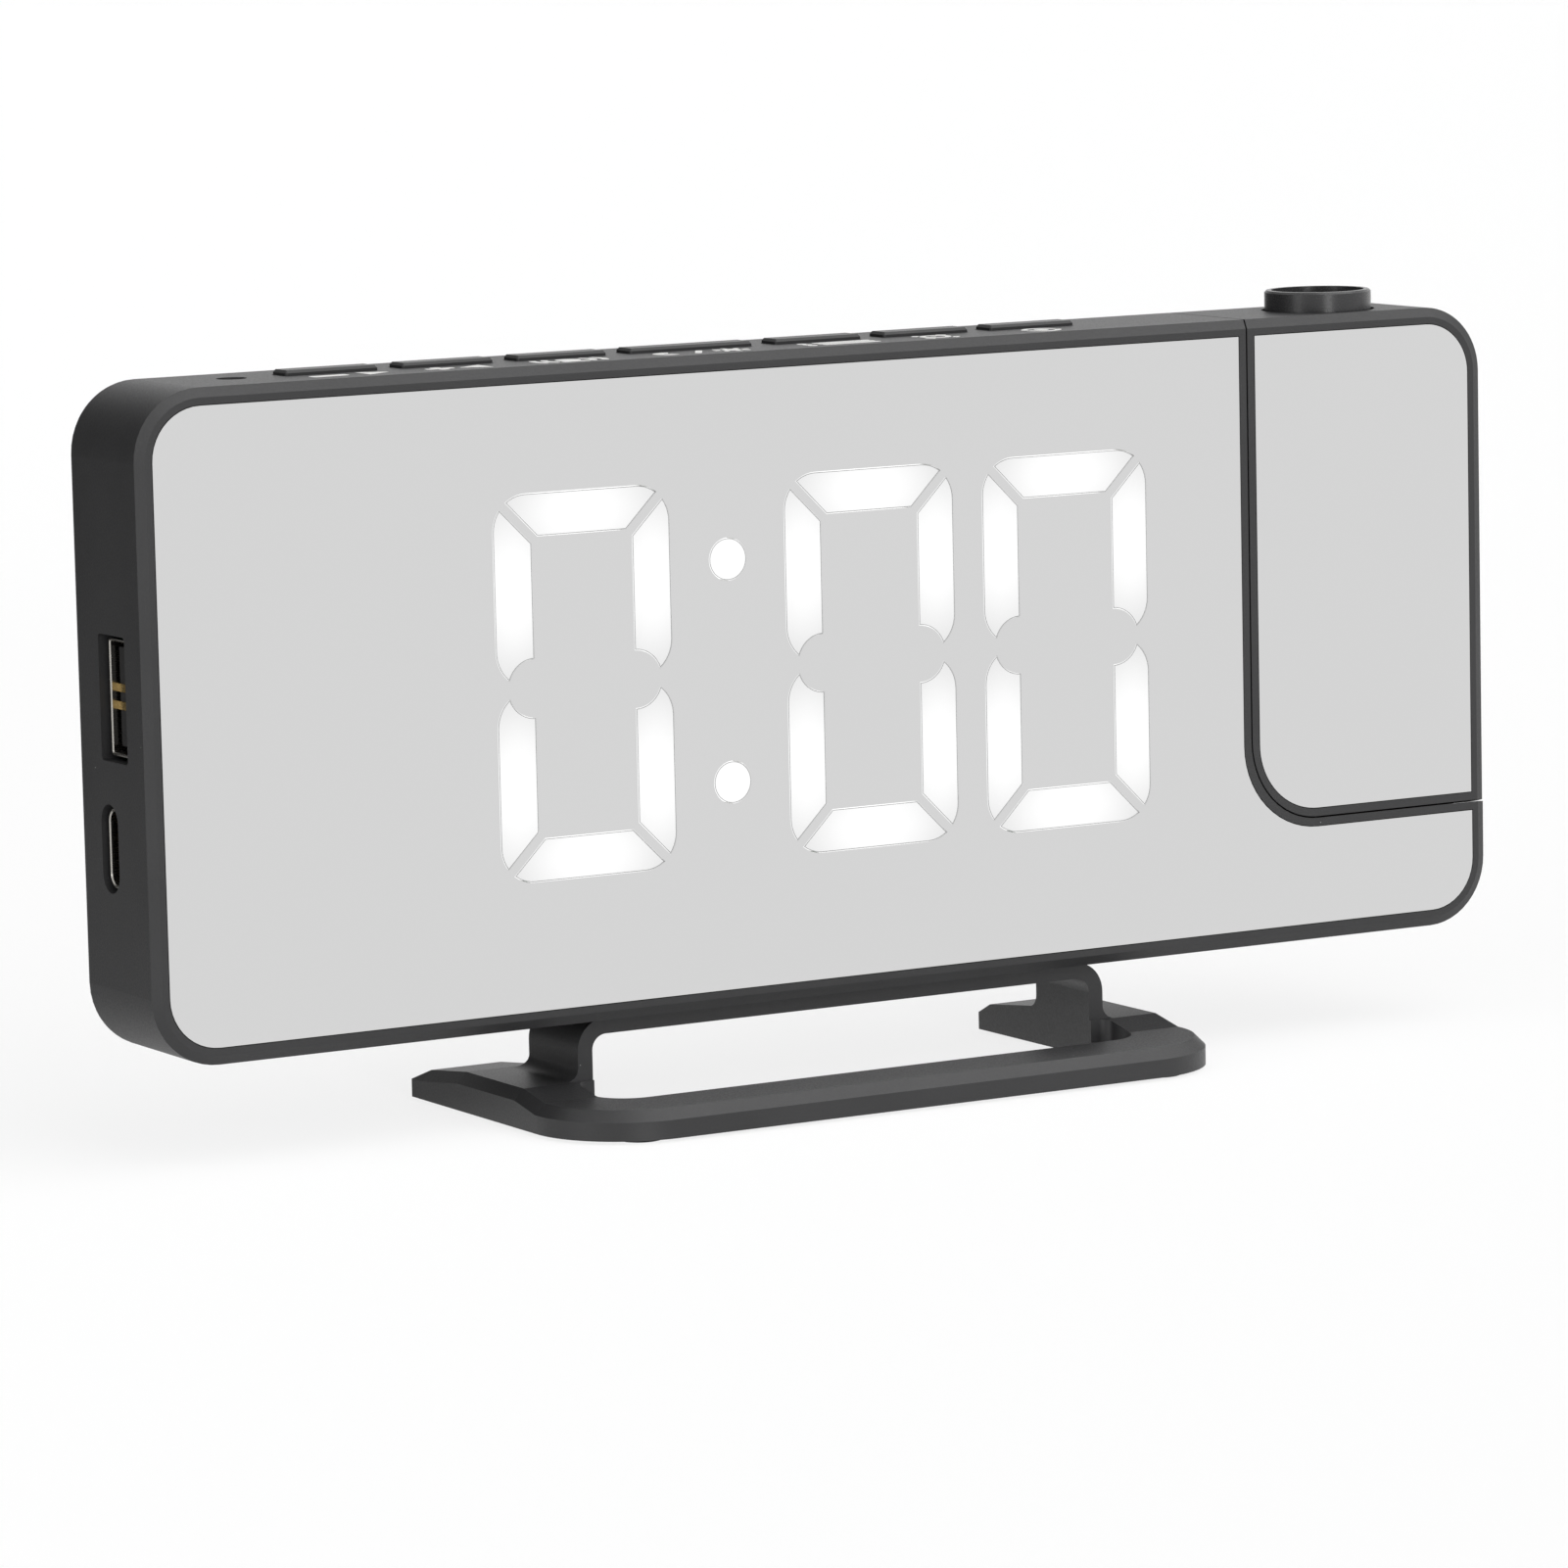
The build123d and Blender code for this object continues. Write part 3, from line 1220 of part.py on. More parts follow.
stand_front_y = front_y - stand_front
stand_back_y = front_y + stand_back
window_half = stand_w / 2 - arm_w
bridge_front_y = front_y + bridge_behind
bridge_back_y = bridge_front_y + bridge_d
tip_y = stand_back_y - tip_chamfer_l
bar_back_y = stand_front_y + bar_d
rise_y = stand_front_y + stand_corner_r + rise_behind
arm_x = (stand_w - arm_w) / 2
pad_spots = [
    (side * x, y)
    for side in (-1, 1)
    for x, y in ((arm_x - pad_in, stand_front_y + bar_d / 2), (arm_x, tip_y - pad_r))
]
under_bridge = [
    Plane(origin=(x, stand_screw_y, bottom_z - bridge_t), z_dir=(0, 0, -1)) for x in stand_screw_xs
]
stand_hole = screw_hole(bridge_t)

with BuildSketch() as bridge_inside:
    with Locations((0, pad_proud)):
        Rectangle(2 * window_half, stand_h - bridge_t, align=(MID, LOW))
    fillet(bridge_inside.vertices().group_by(Axis.Y)[-1], bridge_corner_r - bridge_t)

notch_back_y = bridge_front_y - toe
fall_y = bridge_back_y + heel

with BuildSketch() as notch:
    with Locations((0, bar_back_y)):
        Rectangle(2 * (window_half + notch_step), notch_back_y - bar_back_y, align=(MID, LOW))
    fillet(notch.vertices().group_by(Axis.Y)[0], notch_r)
    fillet(notch.vertices().group_by(Axis.Y)[-1], notch_back_r)

def arm_section(y, height):
    """Section of the right arm at `y`, with a bevel along its outer top edge."""
    with BuildSketch(Plane(origin=(stand_w / 2, y, pad_proud), x_dir=(1, 0, 0), z_dir=(0, -1, 0))) as section:
        with BuildLine():
            Polyline(
                (0, 0), (0, height - stand_bevel), (-stand_bevel, height), (-arm_w, height), (-arm_w, 0),
                close=True,
            )
        make_face()
    return section.sketch


with BuildPart() as stand:
    # front bar with the rounded corners, bevelled all round
    with BuildSketch(Plane.XY.offset(pad_proud)) as front_plan:
        with Locations((0, stand_front_y)):
            Rectangle(stand_w, rise_y - stand_front_y, align=(MID, LOW))
        fillet(front_plan.vertices().group_by(Axis.Y)[0], stand_corner_r)
    extrude(amount=bar_h)
    front_top = stand.faces().sort_by(Axis.Z)[-1]
    chamfer(front_top.edges().sort_by(Axis.Y)[:-1], stand_bevel)
    # arms: a rise beside the bridge, and a gentle fall to the tips
    loft(
        sections=[
            arm_section(rise_y, bar_h), arm_section(notch_back_y, arm_h), arm_section(fall_y, arm_h),
            arm_section(tip_y, arm_tip_h), arm_section(stand_back_y, arm_tip_h),
        ],
        ruled=True,
    )
    mirror(about=Plane.YZ)
    # chamfered ends of the arms
    with BuildSketch(Plane.YZ.offset(-stand_w / 2)):
        with BuildLine():
            Polyline(
                (tip_y, pad_proud + arm_tip_h),
                (tip_y + 2 * tip_chamfer_l, pad_proud + arm_tip_h - 2 * tip_chamfer_h),
                (tip_y + 2 * tip_chamfer_l, pad_proud + arm_tip_h + past),
                (tip_y, pad_proud + arm_tip_h + past),
                close=True,
            )
        make_face()
    extrude(amount=stand_w, mode=Mode.SUBTRACT)
    # window between the arms, with a wider part in front of the bridge
    with BuildSketch():
        add(notch.sketch)
        with Locations((0, notch_back_y)):
            Rectangle(2 * window_half, stand_back + past, align=(MID, LOW))
    extrude(amount=stand_h, mode=Mode.SUBTRACT)
    # bridge: an inverted U that carries the body
    with BuildSketch(Plane(origin=(0, bridge_back_y, 0), x_dir=(1, 0, 0), z_dir=(0, -1, 0))) as arch:
        with Locations((0, pad_proud + bridge_sunk)):
            Rectangle(2 * (window_half + bridge_t), stand_h - bridge_sunk, align=(MID, LOW))
        fillet(arch.vertices().group_by(Axis.Y)[-1], bridge_corner_r)
        add(bridge_inside.sketch, mode=Mode.SUBTRACT)
    extrude(amount=bridge_d)
    feet = [
        edge
        for edge in stand.edges().filter_by(GeomType.LINE)
        if window_half + 0.01 < abs(edge.center().X) < window_half + bridge_t + 0.01
        and bridge_front_y + 0.01 < edge.center().Y < bridge_back_y + 0.01
        and abs(edge.center().Z - pad_proud - arm_h) < 0.01
    ]
    fillet(feet, foot_r)
    # countersunk holes for the two screws, and sinks for the pads
    with Locations(*under_bridge):
        add(stand_hole, mode=Mode.SUBTRACT)
    with Locations(*[(x, y, pad_t) for x, y in pad_spots]):
        Cylinder(pad_r + fit_gap, pad_t, align=(MID, MID, HIGH), mode=Mode.SUBTRACT)
stand.part.label = "stand"
export_step(stand.part, "parts/stand.step")

with BuildPart() as stand_screws:
    with Locations(*under_bridge):
        add(screw)
stand_screws.part.label = "stand_screws"
export_step(stand_screws.part, "parts/stand_screws.step")

with BuildPart() as stand_pads:
    with Locations(*[(x, y, pad_t) for x, y in pad_spots]):
        Cylinder(pad_r, pad_t, align=(MID, MID, HIGH))
stand_pads.part.label = "stand_pads"
export_step(stand_pads.part, "parts/stand_pads.step")
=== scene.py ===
# %% [markdown]
# # A projection alarm clock in satin black ABS
# The clock is a long, thin body on a low stand. Its front is a half-silvered mirror with lit
# digits behind it, its upper right corner is a projector that tilts, and keys and sockets sit in
# its top and left edge. Every solid comes from the CAD model, in metres, X to the right, Y to the
# back and Z up. This lesson gives each solid the finish of the real one, adds the small things
# that CAD leaves out, such as the printed marks and the sockets' contacts, and lights the whole.

# %% Load the clock's own solids
import json
import math
import bmesh
import bpy
from mathutils import Matrix, Vector


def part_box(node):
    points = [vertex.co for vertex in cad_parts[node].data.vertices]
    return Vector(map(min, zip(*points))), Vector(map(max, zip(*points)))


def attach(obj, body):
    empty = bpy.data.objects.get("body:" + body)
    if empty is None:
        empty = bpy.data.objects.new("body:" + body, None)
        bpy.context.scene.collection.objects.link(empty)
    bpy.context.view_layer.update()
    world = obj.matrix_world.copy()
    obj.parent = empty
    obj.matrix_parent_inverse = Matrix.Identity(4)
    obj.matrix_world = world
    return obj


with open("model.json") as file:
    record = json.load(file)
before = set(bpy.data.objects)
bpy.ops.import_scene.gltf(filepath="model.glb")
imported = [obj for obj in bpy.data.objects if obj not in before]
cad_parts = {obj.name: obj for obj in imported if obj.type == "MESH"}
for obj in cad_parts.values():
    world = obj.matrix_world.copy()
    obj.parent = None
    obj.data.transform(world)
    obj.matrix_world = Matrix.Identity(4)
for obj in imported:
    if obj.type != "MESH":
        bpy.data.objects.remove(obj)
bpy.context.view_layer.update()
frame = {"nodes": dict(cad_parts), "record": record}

solids = frame["nodes"]

# %% [markdown]
# ## The studio
# A small glossy object is easiest to read on a pale sweep with large, soft lamps. Area lamps, an
# image of a studio or wide suns could light it. Wide suns are used, because they light the floor
# evenly however far it reaches, and their width keeps the shadows soft.
# The mirror and the metal show whatever is round them, so the white backdrop has to be seen by
# glossy and transmitted rays as well as by the camera. Light Path tells these rays apart, and
# only the rest of the rays, which light the clock, get the plain ambient level.
# Reflections also need something dark to show, or black plastic turns grey all over. A studio has
# black flags for this. Here the backdrop is darker in two directions, for reflections only:
# beside and behind the clock, and round the camera, where a studio is dark as well. The floor is
# darker in the first direction too.

# %% Millimetres, colours and nodes
MM = 0.001


def linear(code):
    """An sRGB hex colour as the linear values that shaders use."""
    parts = [int(code[i:i + 2], 16) / 255 for i in (1, 3, 5)]
    return (*(p / 12.92 if p <= 0.04045 else ((p + 0.055) / 1.055) ** 2.4 for p in parts), 1.0)


def add(tree, kind, inputs=None, **settings):
    """Adds a node. settings are its options; inputs are values, or the outputs that feed it."""
    node = tree.nodes.new(kind)
    for name, value in settings.items():
        setattr(node, name, value)
    for name, value in (inputs or {}).items():
        if isinstance(value, bpy.types.NodeSocket):
            tree.links.new(value, node.inputs[name])
        else:
            node.inputs[name].default_value = value
    return node


print("a mid grey as shaders see it", linear("#808080"))

# %% White backdrop, plain ambient light
AMBIENT = 0.5

world = bpy.data.worlds.new("white_studio")
world.use_nodes = True
bpy.context.scene.world = world
sky = world.node_tree
sky.nodes.clear()
rays = add(sky, "ShaderNodeLightPath")
seen = add(sky, "ShaderNodeMath", {0: rays.outputs["Is Camera Ray"],
                                   1: rays.outputs["Is Transmission Ray"]}, operation="MAXIMUM")
level = add(sky, "ShaderNodeMapRange", {"Value": seen.outputs[0], "To Min": AMBIENT,
                                        "To Max": 1.0})
bpy.context.scene.view_settings.view_transform = "Standard"
print("ambient level", AMBIENT)

# %% Black flags
# Each flag's direction, the cosines at its outer and inner edge, and how bright it leaves the
# backdrop. A cosine is 1 straight towards the flag and 0 at a right angle to it.
FLAGS = (((-0.5, 0.866, 0.0), 0.5, 0.9, 0.08), ((-0.5, -0.866, 0.0), 0.88, 0.98, 0.55))


def flagged(tree, toward, levels):
    """What a reflection sees in a direction: 1, or down to the flags' levels."""
    product = 1.0
    for (side, outer, inner, _), darkest in zip(FLAGS, levels):
        facing = add(tree, "ShaderNodeVectorMath", {0: toward, 1: side},
                     operation="DOT_PRODUCT")
        shade = add(tree, "ShaderNodeMapRange",
                    {"Value": facing.outputs["Value"], "From Min": outer, "From Max": inner,
                     "To Min": 1.0, "To Max": darkest}, interpolation_type="SMOOTHSTEP")
        product = add(tree, "ShaderNodeMath", {0: shade.outputs[0], 1: product},
                      operation="MULTIPLY").outputs[0]
    return product


toward = add(sky, "ShaderNodeTexCoord").outputs["Generated"]
flag = flagged(sky, toward, [each[3] for each in FLAGS])
level = add(sky, "ShaderNodeMix", {0: rays.outputs["Is Glossy Ray"], 2: level.outputs[0], 3: flag})
light = add(sky, "ShaderNodeBackground", {"Color": linear("#FFFFFF"),
                                          "Strength": level.outputs[0]})
add(sky, "ShaderNodeOutputWorld", {"Surface": light.outputs[0]})
print("black flags", len(FLAGS))

# %% Floor
FLOOR_SIZE = 24.0

bm = bmesh.new()
bmesh.ops.create_grid(bm, x_segments=1, y_segments=1, size=FLOOR_SIZE / 2)
floor_mesh = bpy.data.meshes.new("floor")
bm.to_mesh(floor_mesh)
bm.free()
floor = bpy.data.objects.new("floor", floor_mesh)
bpy.context.scene.collection.objects.link(floor)
print("floor across in m", FLOOR_SIZE)

# %% Paint on the floor
# A painted white sweep. What the camera and reflections see of it is part its own lit surface,
# which holds the clock's shadow, and part the even white of the backdrop.
SHADOW_SHARE = 0.2
# How bright the first flag leaves the floor beside the clock and further off, and these two
# distances in metres.
FLAG_NEAR, FLAG_FAR = 0.5, 0.12
NEAR, FAR = 0.12, 0.6

painted = bpy.data.materials.new("painted_sweep")
painted.use_nodes = True
tree = painted.node_tree
tree.nodes.clear()
rays = add(tree, "ShaderNodeLightPath")
mirrored = add(tree, "ShaderNodeMath", {0: rays.outputs["Is Glossy Ray"],
                                        1: rays.outputs["Is Transmission Ray"]},
               operation="MAXIMUM")
share = add(tree, "ShaderNodeMath", {0: rays.outputs["Is Camera Ray"], 1: 1 - SHADOW_SHARE},
            operation="MULTIPLY")
share = add(tree, "ShaderNodeMath", {0: share.outputs[0], 1: mirrored.outputs[0]},
            operation="MAXIMUM")
paint = add(tree, "ShaderNodeBsdfDiffuse", {"Color": linear("#F7F7F7"), "Roughness": 1.0})
spot_on_floor = add(tree, "ShaderNodeTexCoord").outputs["Object"]
toward = add(tree, "ShaderNodeVectorMath", {0: spot_on_floor}, operation="NORMALIZE")
distance = add(tree, "ShaderNodeVectorMath", {0: spot_on_floor}, operation="LENGTH")
darkest = add(tree, "ShaderNodeMapRange", {"Value": distance.outputs["Value"], "From Min": NEAR,
                                           "From Max": FAR, "To Min": FLAG_NEAR,
                                           "To Max": FLAG_FAR})
flag = flagged(tree, toward.outputs[0], (darkest.outputs[0],))
level = add(tree, "ShaderNodeMix", {0: rays.outputs["Is Glossy Ray"], 2: 1.0, 3: flag})
white = add(tree, "ShaderNodeEmission", {"Color": linear("#FFFFFF"),
                                         "Strength": level.outputs[0]})
both = add(tree, "ShaderNodeMixShader", {0: share.outputs[0], 1: paint.outputs[0],
                                         2: white.outputs[0]})
add(tree, "ShaderNodeOutputMaterial", {"Surface": both.outputs[0]})
floor_mesh.materials.append(painted)
print("share of the floor's own light", SHADOW_SHARE)

# %% Lamps
# One wide sun high on the right for the top, one low on the left and one low in front. The last
# two draw the upright streaks on the round knob.
def lamp(name, strength, width, azimuth, height):
    """A soft sun, in degrees. azimuth 0 is in front of the clock and 90 on its left."""
    sun = bpy.data.lights.new(name, "SUN")
    sun.energy = strength
    sun.angle = math.radians(width)
    body = bpy.data.objects.new(name, sun)
    bpy.context.scene.collection.objects.link(body)
    a, h = math.radians(azimuth), math.radians(height)
    toward = Vector((-math.sin(a) * math.cos(h), -math.cos(a) * math.cos(h), math.sin(h)))
    body.rotation_euler = toward.to_track_quat("Z", "Y").to_euler()
    print(name, "W/m2", strength, "degrees wide", width)


lamp("high_softbox", 1.6, 70, -35, 52)
lamp("left_softbox", 0.35, 20, 77, 4)
lamp("front_softbox", 0.6, 14, 10, 4)

# %% [markdown]
# ## The camera
# A long lens from far away keeps the clock's upright lines nearly upright. The camera looks from
# the left front and a little above. Its place and its three turns are written as numbers, because
# the frame of the object and the frame of the scene are the same, and nothing has to be fitted.

# %% Camera
PLACE = Vector((-433.642, -742.712, 150.284)) * MM
TURN, TILT, ROLL = 0.5230995, 0.1322716, -0.0222789
LENS, SENSOR = 170.30, 36

ahead = Vector((math.sin(TURN) * math.cos(TILT), math.cos(TURN) * math.cos(TILT),
                -math.sin(TILT)))
right = Vector((math.cos(TURN), -math.sin(TURN), 0))
above = right.cross(ahead)
right, above = (right * math.cos(ROLL) + above * math.sin(ROLL),
                above * math.cos(ROLL) - right * math.sin(ROLL))
camera = bpy.data.objects.new("camera", bpy.data.cameras.new("camera"))
camera.data.lens = LENS
camera.data.sensor_width = SENSOR
camera.data.clip_end = 100
camera.matrix_world = Matrix((right, above, -ahead)).transposed().to_4x4()
camera.matrix_world.translation = PLACE
bpy.context.scene.collection.objects.link(camera)
bpy.context.scene.camera = camera
print("camera", round(PLACE.length, 3), "m from the middle, lens in mm", LENS)

# %% [markdown]
# ## Moulded plastic
# Housing, stand, keys and knob are injection-moulded ABS. The steel mould is spark-eroded, which
# leaves a fine grain, and that grain is what makes the black satin and not glossy. It could be
# painted as a bump image, but noise on Object coordinates has no seams and keeps its size in
# millimetres on every part. A second, broad noise gives the faint unevenness of a handled
# surface, and a sparse cell pattern leaves a few specks of dust, as black plastic always shows.

# %% Start and end a material
def start(name):
    """An empty material: its node tree and the piece's own coordinates, in metres."""
    material = bpy.data.materials.new(name)
    material.use_nodes = True
    material.node_tree.nodes.clear()
    place = add(material.node_tree, "ShaderNodeTexCoord").outputs["Object"]
    return material, material.node_tree, place


def close(tree, inputs):
    """Ends a material with its shader, whose sockets take plain values or outputs."""
    shader = add(tree, "ShaderNodeBsdfPrincipled", inputs)
    add(tree, "ShaderNodeOutputMaterial", {"Surface": shader.outputs[0]})


print("materials before the clock's own", [m.name for m in bpy.data.materials])

# %% One moulded finish
# Noise seldom leaves the middle of its range, so that part is stretched to the whole.
NOISE = {"From Min": 0.3, "From Max": 0.7}
UNEVEN = 14.0
# A speck is larger than dust is, so that it still shows from arm's length.
SPECK_APART, SPECK_ACROSS = 5.5, 0.132


def moulded(name, colour, worn, gloss, grain, depth, specular=0.5, dust=0.0):
    """gloss is (smoothest, roughest); grain and depth are the grain's size and height in mm."""
    material, tree, place = start(name)
    broad = add(tree, "ShaderNodeTexNoise", {"Vector": place, "Scale": 1 / (UNEVEN * MM),
                                             "Detail": 3.0})
    fine = add(tree, "ShaderNodeTexNoise", {"Vector": place, "Scale": 1 / (grain * MM),
                                            "Detail": 2.0, "Roughness": 0.6})
    shade = add(tree, "ShaderNodeMapRange", {"Value": broad.outputs[0], **NOISE})
    tint = add(tree, "ShaderNodeMix", {0: shade.outputs[0], 6: linear(colour), 7: linear(worn)},
               data_type="RGBA")
    if dust:
        cells = add(tree, "ShaderNodeTexVoronoi", {"Vector": place, "Randomness": 1.0,
                                                   "Scale": 1 / (SPECK_APART * MM)})
        near = add(tree, "ShaderNodeMath", {0: cells.outputs["Distance"],
                                            1: SPECK_ACROSS / 2 / SPECK_APART},
                   operation="LESS_THAN")
        speck = add(tree, "ShaderNodeMath", {0: near.outputs[0], 1: dust}, operation="MULTIPLY")
        tint = add(tree, "ShaderNodeMix", {0: speck.outputs[0], 6: tint.outputs[2],
                                           7: linear("#B8B8B8")}, data_type="RGBA")
    rough = add(tree, "ShaderNodeMapRange", {"Value": fine.outputs[0], **NOISE,
                                             "To Min": gloss[0], "To Max": gloss[1]})
    bump = add(tree, "ShaderNodeBump", {"Height": fine.outputs[0], "Strength": 1.0,
                                        "Distance": depth * MM})
    close(tree, {"Base Color": tint.outputs[2], "Roughness": rough.outputs[0], "IOR": 1.5,
                 "Specular IOR Level": specular, "Normal": bump.outputs[0]})
    return material


print("specks of dust in mm", SPECK_ACROSS, "apart", SPECK_APART)

# %% Several plastics
# Case and stand have the same spark-eroded grain, and from it a wide, soft sheen. Real grain is
# about 0.1 mm across; it is drawn at 0.22 mm so that it can show.
SATIN = ("#242425", "#2A2A2B", (0.39, 0.53), 0.22, 0.014)
case_abs = moulded("satin_abs_case", *SATIN, dust=0.8)
stand_abs = moulded("satin_abs_stand", *SATIN, dust=0.8)
# The knob's mould was turned and polished, so it has narrow streaks of light, and the keys lie
# between the two.
knob_abs = moulded("satin_abs_knob", "#2A2A2B", "#303031", (0.22, 0.3), 0.20, 0.004)
key_abs = moulded("semigloss_abs_keys", "#1C1C1D", "#222223", (0.34, 0.44), 0.25, 0.006, 0.45)
# Inner parts are plain: glass-filled and dull, or white and matt to throw the light forward.
inner_pbt = moulded("matt_pbt_inner", "#121213", "#1A1A1B", (0.55, 0.7), 0.3, 0.01)
white_abs = moulded("matt_abs_reflector", "#EDEDEB", "#E4E4E1", (0.5, 0.62), 0.3, 0.008)
# Acetal is waxy, the lead's cover soft and a little shiny, and rubber takes up nearly all light.
acetal = moulded("natural_acetal_washer", "#DEDCD2", "#D4D2C6", (0.34, 0.44), 0.4, 0.004)
lead_pvc = moulded("soft_pvc_lead", "#1E1E1F", "#272728", (0.42, 0.52), 0.5, 0.01)
foot_rubber = moulded("silicone_rubber_feet", "#1B1B1B", "#242424", (0.72, 0.86), 0.2, 0.015, 0.3)
# The sensor's window is polished and almost black.
smoked_pc = moulded("smoked_polycarbonate", "#0A0A0B", "#0E0E10", (0.06, 0.12), 0.5, 0.001)
print("the case reflects", round(linear(SATIN[0])[0], 3), "of the light")

# %% [markdown]
# ## The half-silvered front
# The front panel is clear acrylic with a thin metal film on its back. It reflects about two
# thirds of the light and lets the rest through, so the dark inside can't be seen and the lit
# digits can. Glass over a half-transparent film could be traced as it is, but that is noisy and
# adds nothing here, so the panel is a metal of the film's reflectance, with very faint cleaning
# haze in its roughness.

# %% Mirror film
FILM, THICK_FILM = "#D4D4D4", "#D5D5D5"
WIPED = 30.0

mirror_film, tree, place = start("half_silvered_acrylic")
haze = add(tree, "ShaderNodeTexNoise", {"Vector": place, "Scale": 1 / (WIPED * MM),
                                        "Detail": 4.0})
rough = add(tree, "ShaderNodeMapRange", {"Value": haze.outputs[0], **NOISE, "To Min": 0.015,
                                         "To Max": 0.03})
film = add(tree, "ShaderNodeMix", {0: haze.outputs[0], 6: linear(FILM), 7: linear(THICK_FILM)},
           data_type="RGBA")
close(tree, {"Base Color": film.outputs[2], "Metallic": 1.0, "Roughness": rough.outputs[0]})
print("film reflects", round(linear(FILM)[0], 2), "of the light")

# %% [markdown]
# ## Lit digits
# Behind each window lies a white diffusing bar with one small lamp in its middle. The bar is
# brightest over the lamp and falls off to its ends. Thirty little lamps would be slow to trace
# and noisy, so the bar glows by itself. The fall-off is worked out from Object coordinates: each
# digit is folded about its own middle, so one upright bar and one level bar give the pattern of
# them all.

# %% Fold each digit about its middle
# All in mm. The colon stands midway between the first two digits.
DIGITS = (-34.75, 3.15, 29.95)
COLON_X = (DIGITS[0] + DIGITS[1]) / 2
DIGIT_Z = 50.9

lit_acrylic, tree, place = start("lit_diffuser_acrylic")
x = add(tree, "ShaderNodeSeparateXYZ", {0: place}).outputs["X"]
middle = DIGITS[0] * MM
for first, second in zip(DIGITS, DIGITS[1:]):
    past = add(tree, "ShaderNodeMath", {0: x, 1: (first + second) / 2 * MM},
               operation="GREATER_THAN")
    middle = add(tree, "ShaderNodeMath", {0: past.outputs[0], 1: (second - first) * MM,
                                          2: middle}, operation="MULTIPLY_ADD").outputs[0]
centre = add(tree, "ShaderNodeCombineXYZ", {"X": middle, "Z": DIGIT_Z * MM})
off_centre = add(tree, "ShaderNodeVectorMath", {0: place, 1: centre.outputs[0]},
                 operation="SUBTRACT")
folded = add(tree, "ShaderNodeVectorMath", {0: off_centre.outputs[0]}, operation="ABSOLUTE")
print("digits at x in mm", DIGITS)

# %% Distance from the nearest lamp
# Each lamp's place from the digit's middle, and how far its light reaches, both in X and Z. A
# bar carries light along itself further than across.
UPRIGHT_BAR = ((8.95, 11.4), (5.5, 9.0))
LEVEL_BAR = ((0.0, 19.7), (9.0, 5.5))

distances = []
for (lamp_x, lamp_z), (reach_x, reach_z) in (UPRIGHT_BAR, LEVEL_BAR):
    away = add(tree, "ShaderNodeVectorMath", {0: folded.outputs[0],
                                              1: (lamp_x * MM, 0, lamp_z * MM)},
               operation="SUBTRACT")
    reached = add(tree, "ShaderNodeVectorMath", {0: away.outputs[0],
                                                 1: (1 / (reach_x * MM), 0, 1 / (reach_z * MM))},
                  operation="MULTIPLY")
    length = add(tree, "ShaderNodeVectorMath", {0: reached.outputs[0]}, operation="LENGTH")
    distances.append(length.outputs["Value"])
off_lamp = add(tree, "ShaderNodeMath", dict(enumerate(distances)), operation="MINIMUM")
print("light reaches in mm", UPRIGHT_BAR[1], "and", LEVEL_BAR[1])

# %% Glow
# The two dots of the colon are smaller than their lamps' pool of light, so they are even.
DOT_REACH = 3.0
# Full light ends and faint light begins at these shares of the lamp's reach.
FULL_TO, FAINT_FROM = 0.3, 1.35
BRIGHT, FAINT = "#F8F8F8", "#DCDCDC"

off_colon = add(tree, "ShaderNodeMath", {0: x, 1: COLON_X * MM}, operation="SUBTRACT")
off_colon = add(tree, "ShaderNodeMath", {0: off_colon.outputs[0]}, operation="ABSOLUTE")
bar = add(tree, "ShaderNodeMath", {0: off_colon.outputs[0], 1: DOT_REACH * MM},
          operation="GREATER_THAN")
off_lamp = add(tree, "ShaderNodeMath", {0: off_lamp.outputs[0], 1: bar.outputs[0]},
               operation="MULTIPLY")
fall = add(tree, "ShaderNodeMapRange", {"Value": off_lamp.outputs[0], "From Min": FULL_TO,
                                        "From Max": FAINT_FROM}, interpolation_type="SMOOTHSTEP")
glow = add(tree, "ShaderNodeMix", {0: fall.outputs[0], 6: linear(BRIGHT), 7: linear(FAINT)},
           data_type="RGBA")
close(tree, {"Base Color": linear("#3A3A3A"), "Roughness": 0.25, "IOR": 1.49,
             "Emission Color": glow.outputs[2], "Emission Strength": 1.0})
# A bar whose lamp is off is a dull grey, as the dark behind it shows through.
dark_acrylic = moulded("unlit_diffuser_acrylic", "#8C8C8A", "#7E7E7C", (0.2, 0.3), 0.5, 0.002)
print("glow falls from", round(linear(BRIGHT)[0], 2), "to", round(linear(FAINT)[0], 2))

# %% [markdown]
# ## Metals
# The sockets' shells are rolled steel with bright nickel, the screws are blackened, and the hinge
# axle is turned. All are metals, so their colour is that of their reflection and the index of
# refraction stays at its default. What tells them apart is the mark of how they were made: fine
# straight rolling lines on sheet, rings on a turned shaft, and a mottled film on blackened steel.

# %% Rolled, turned and blackened steel
STAINS = 3.0


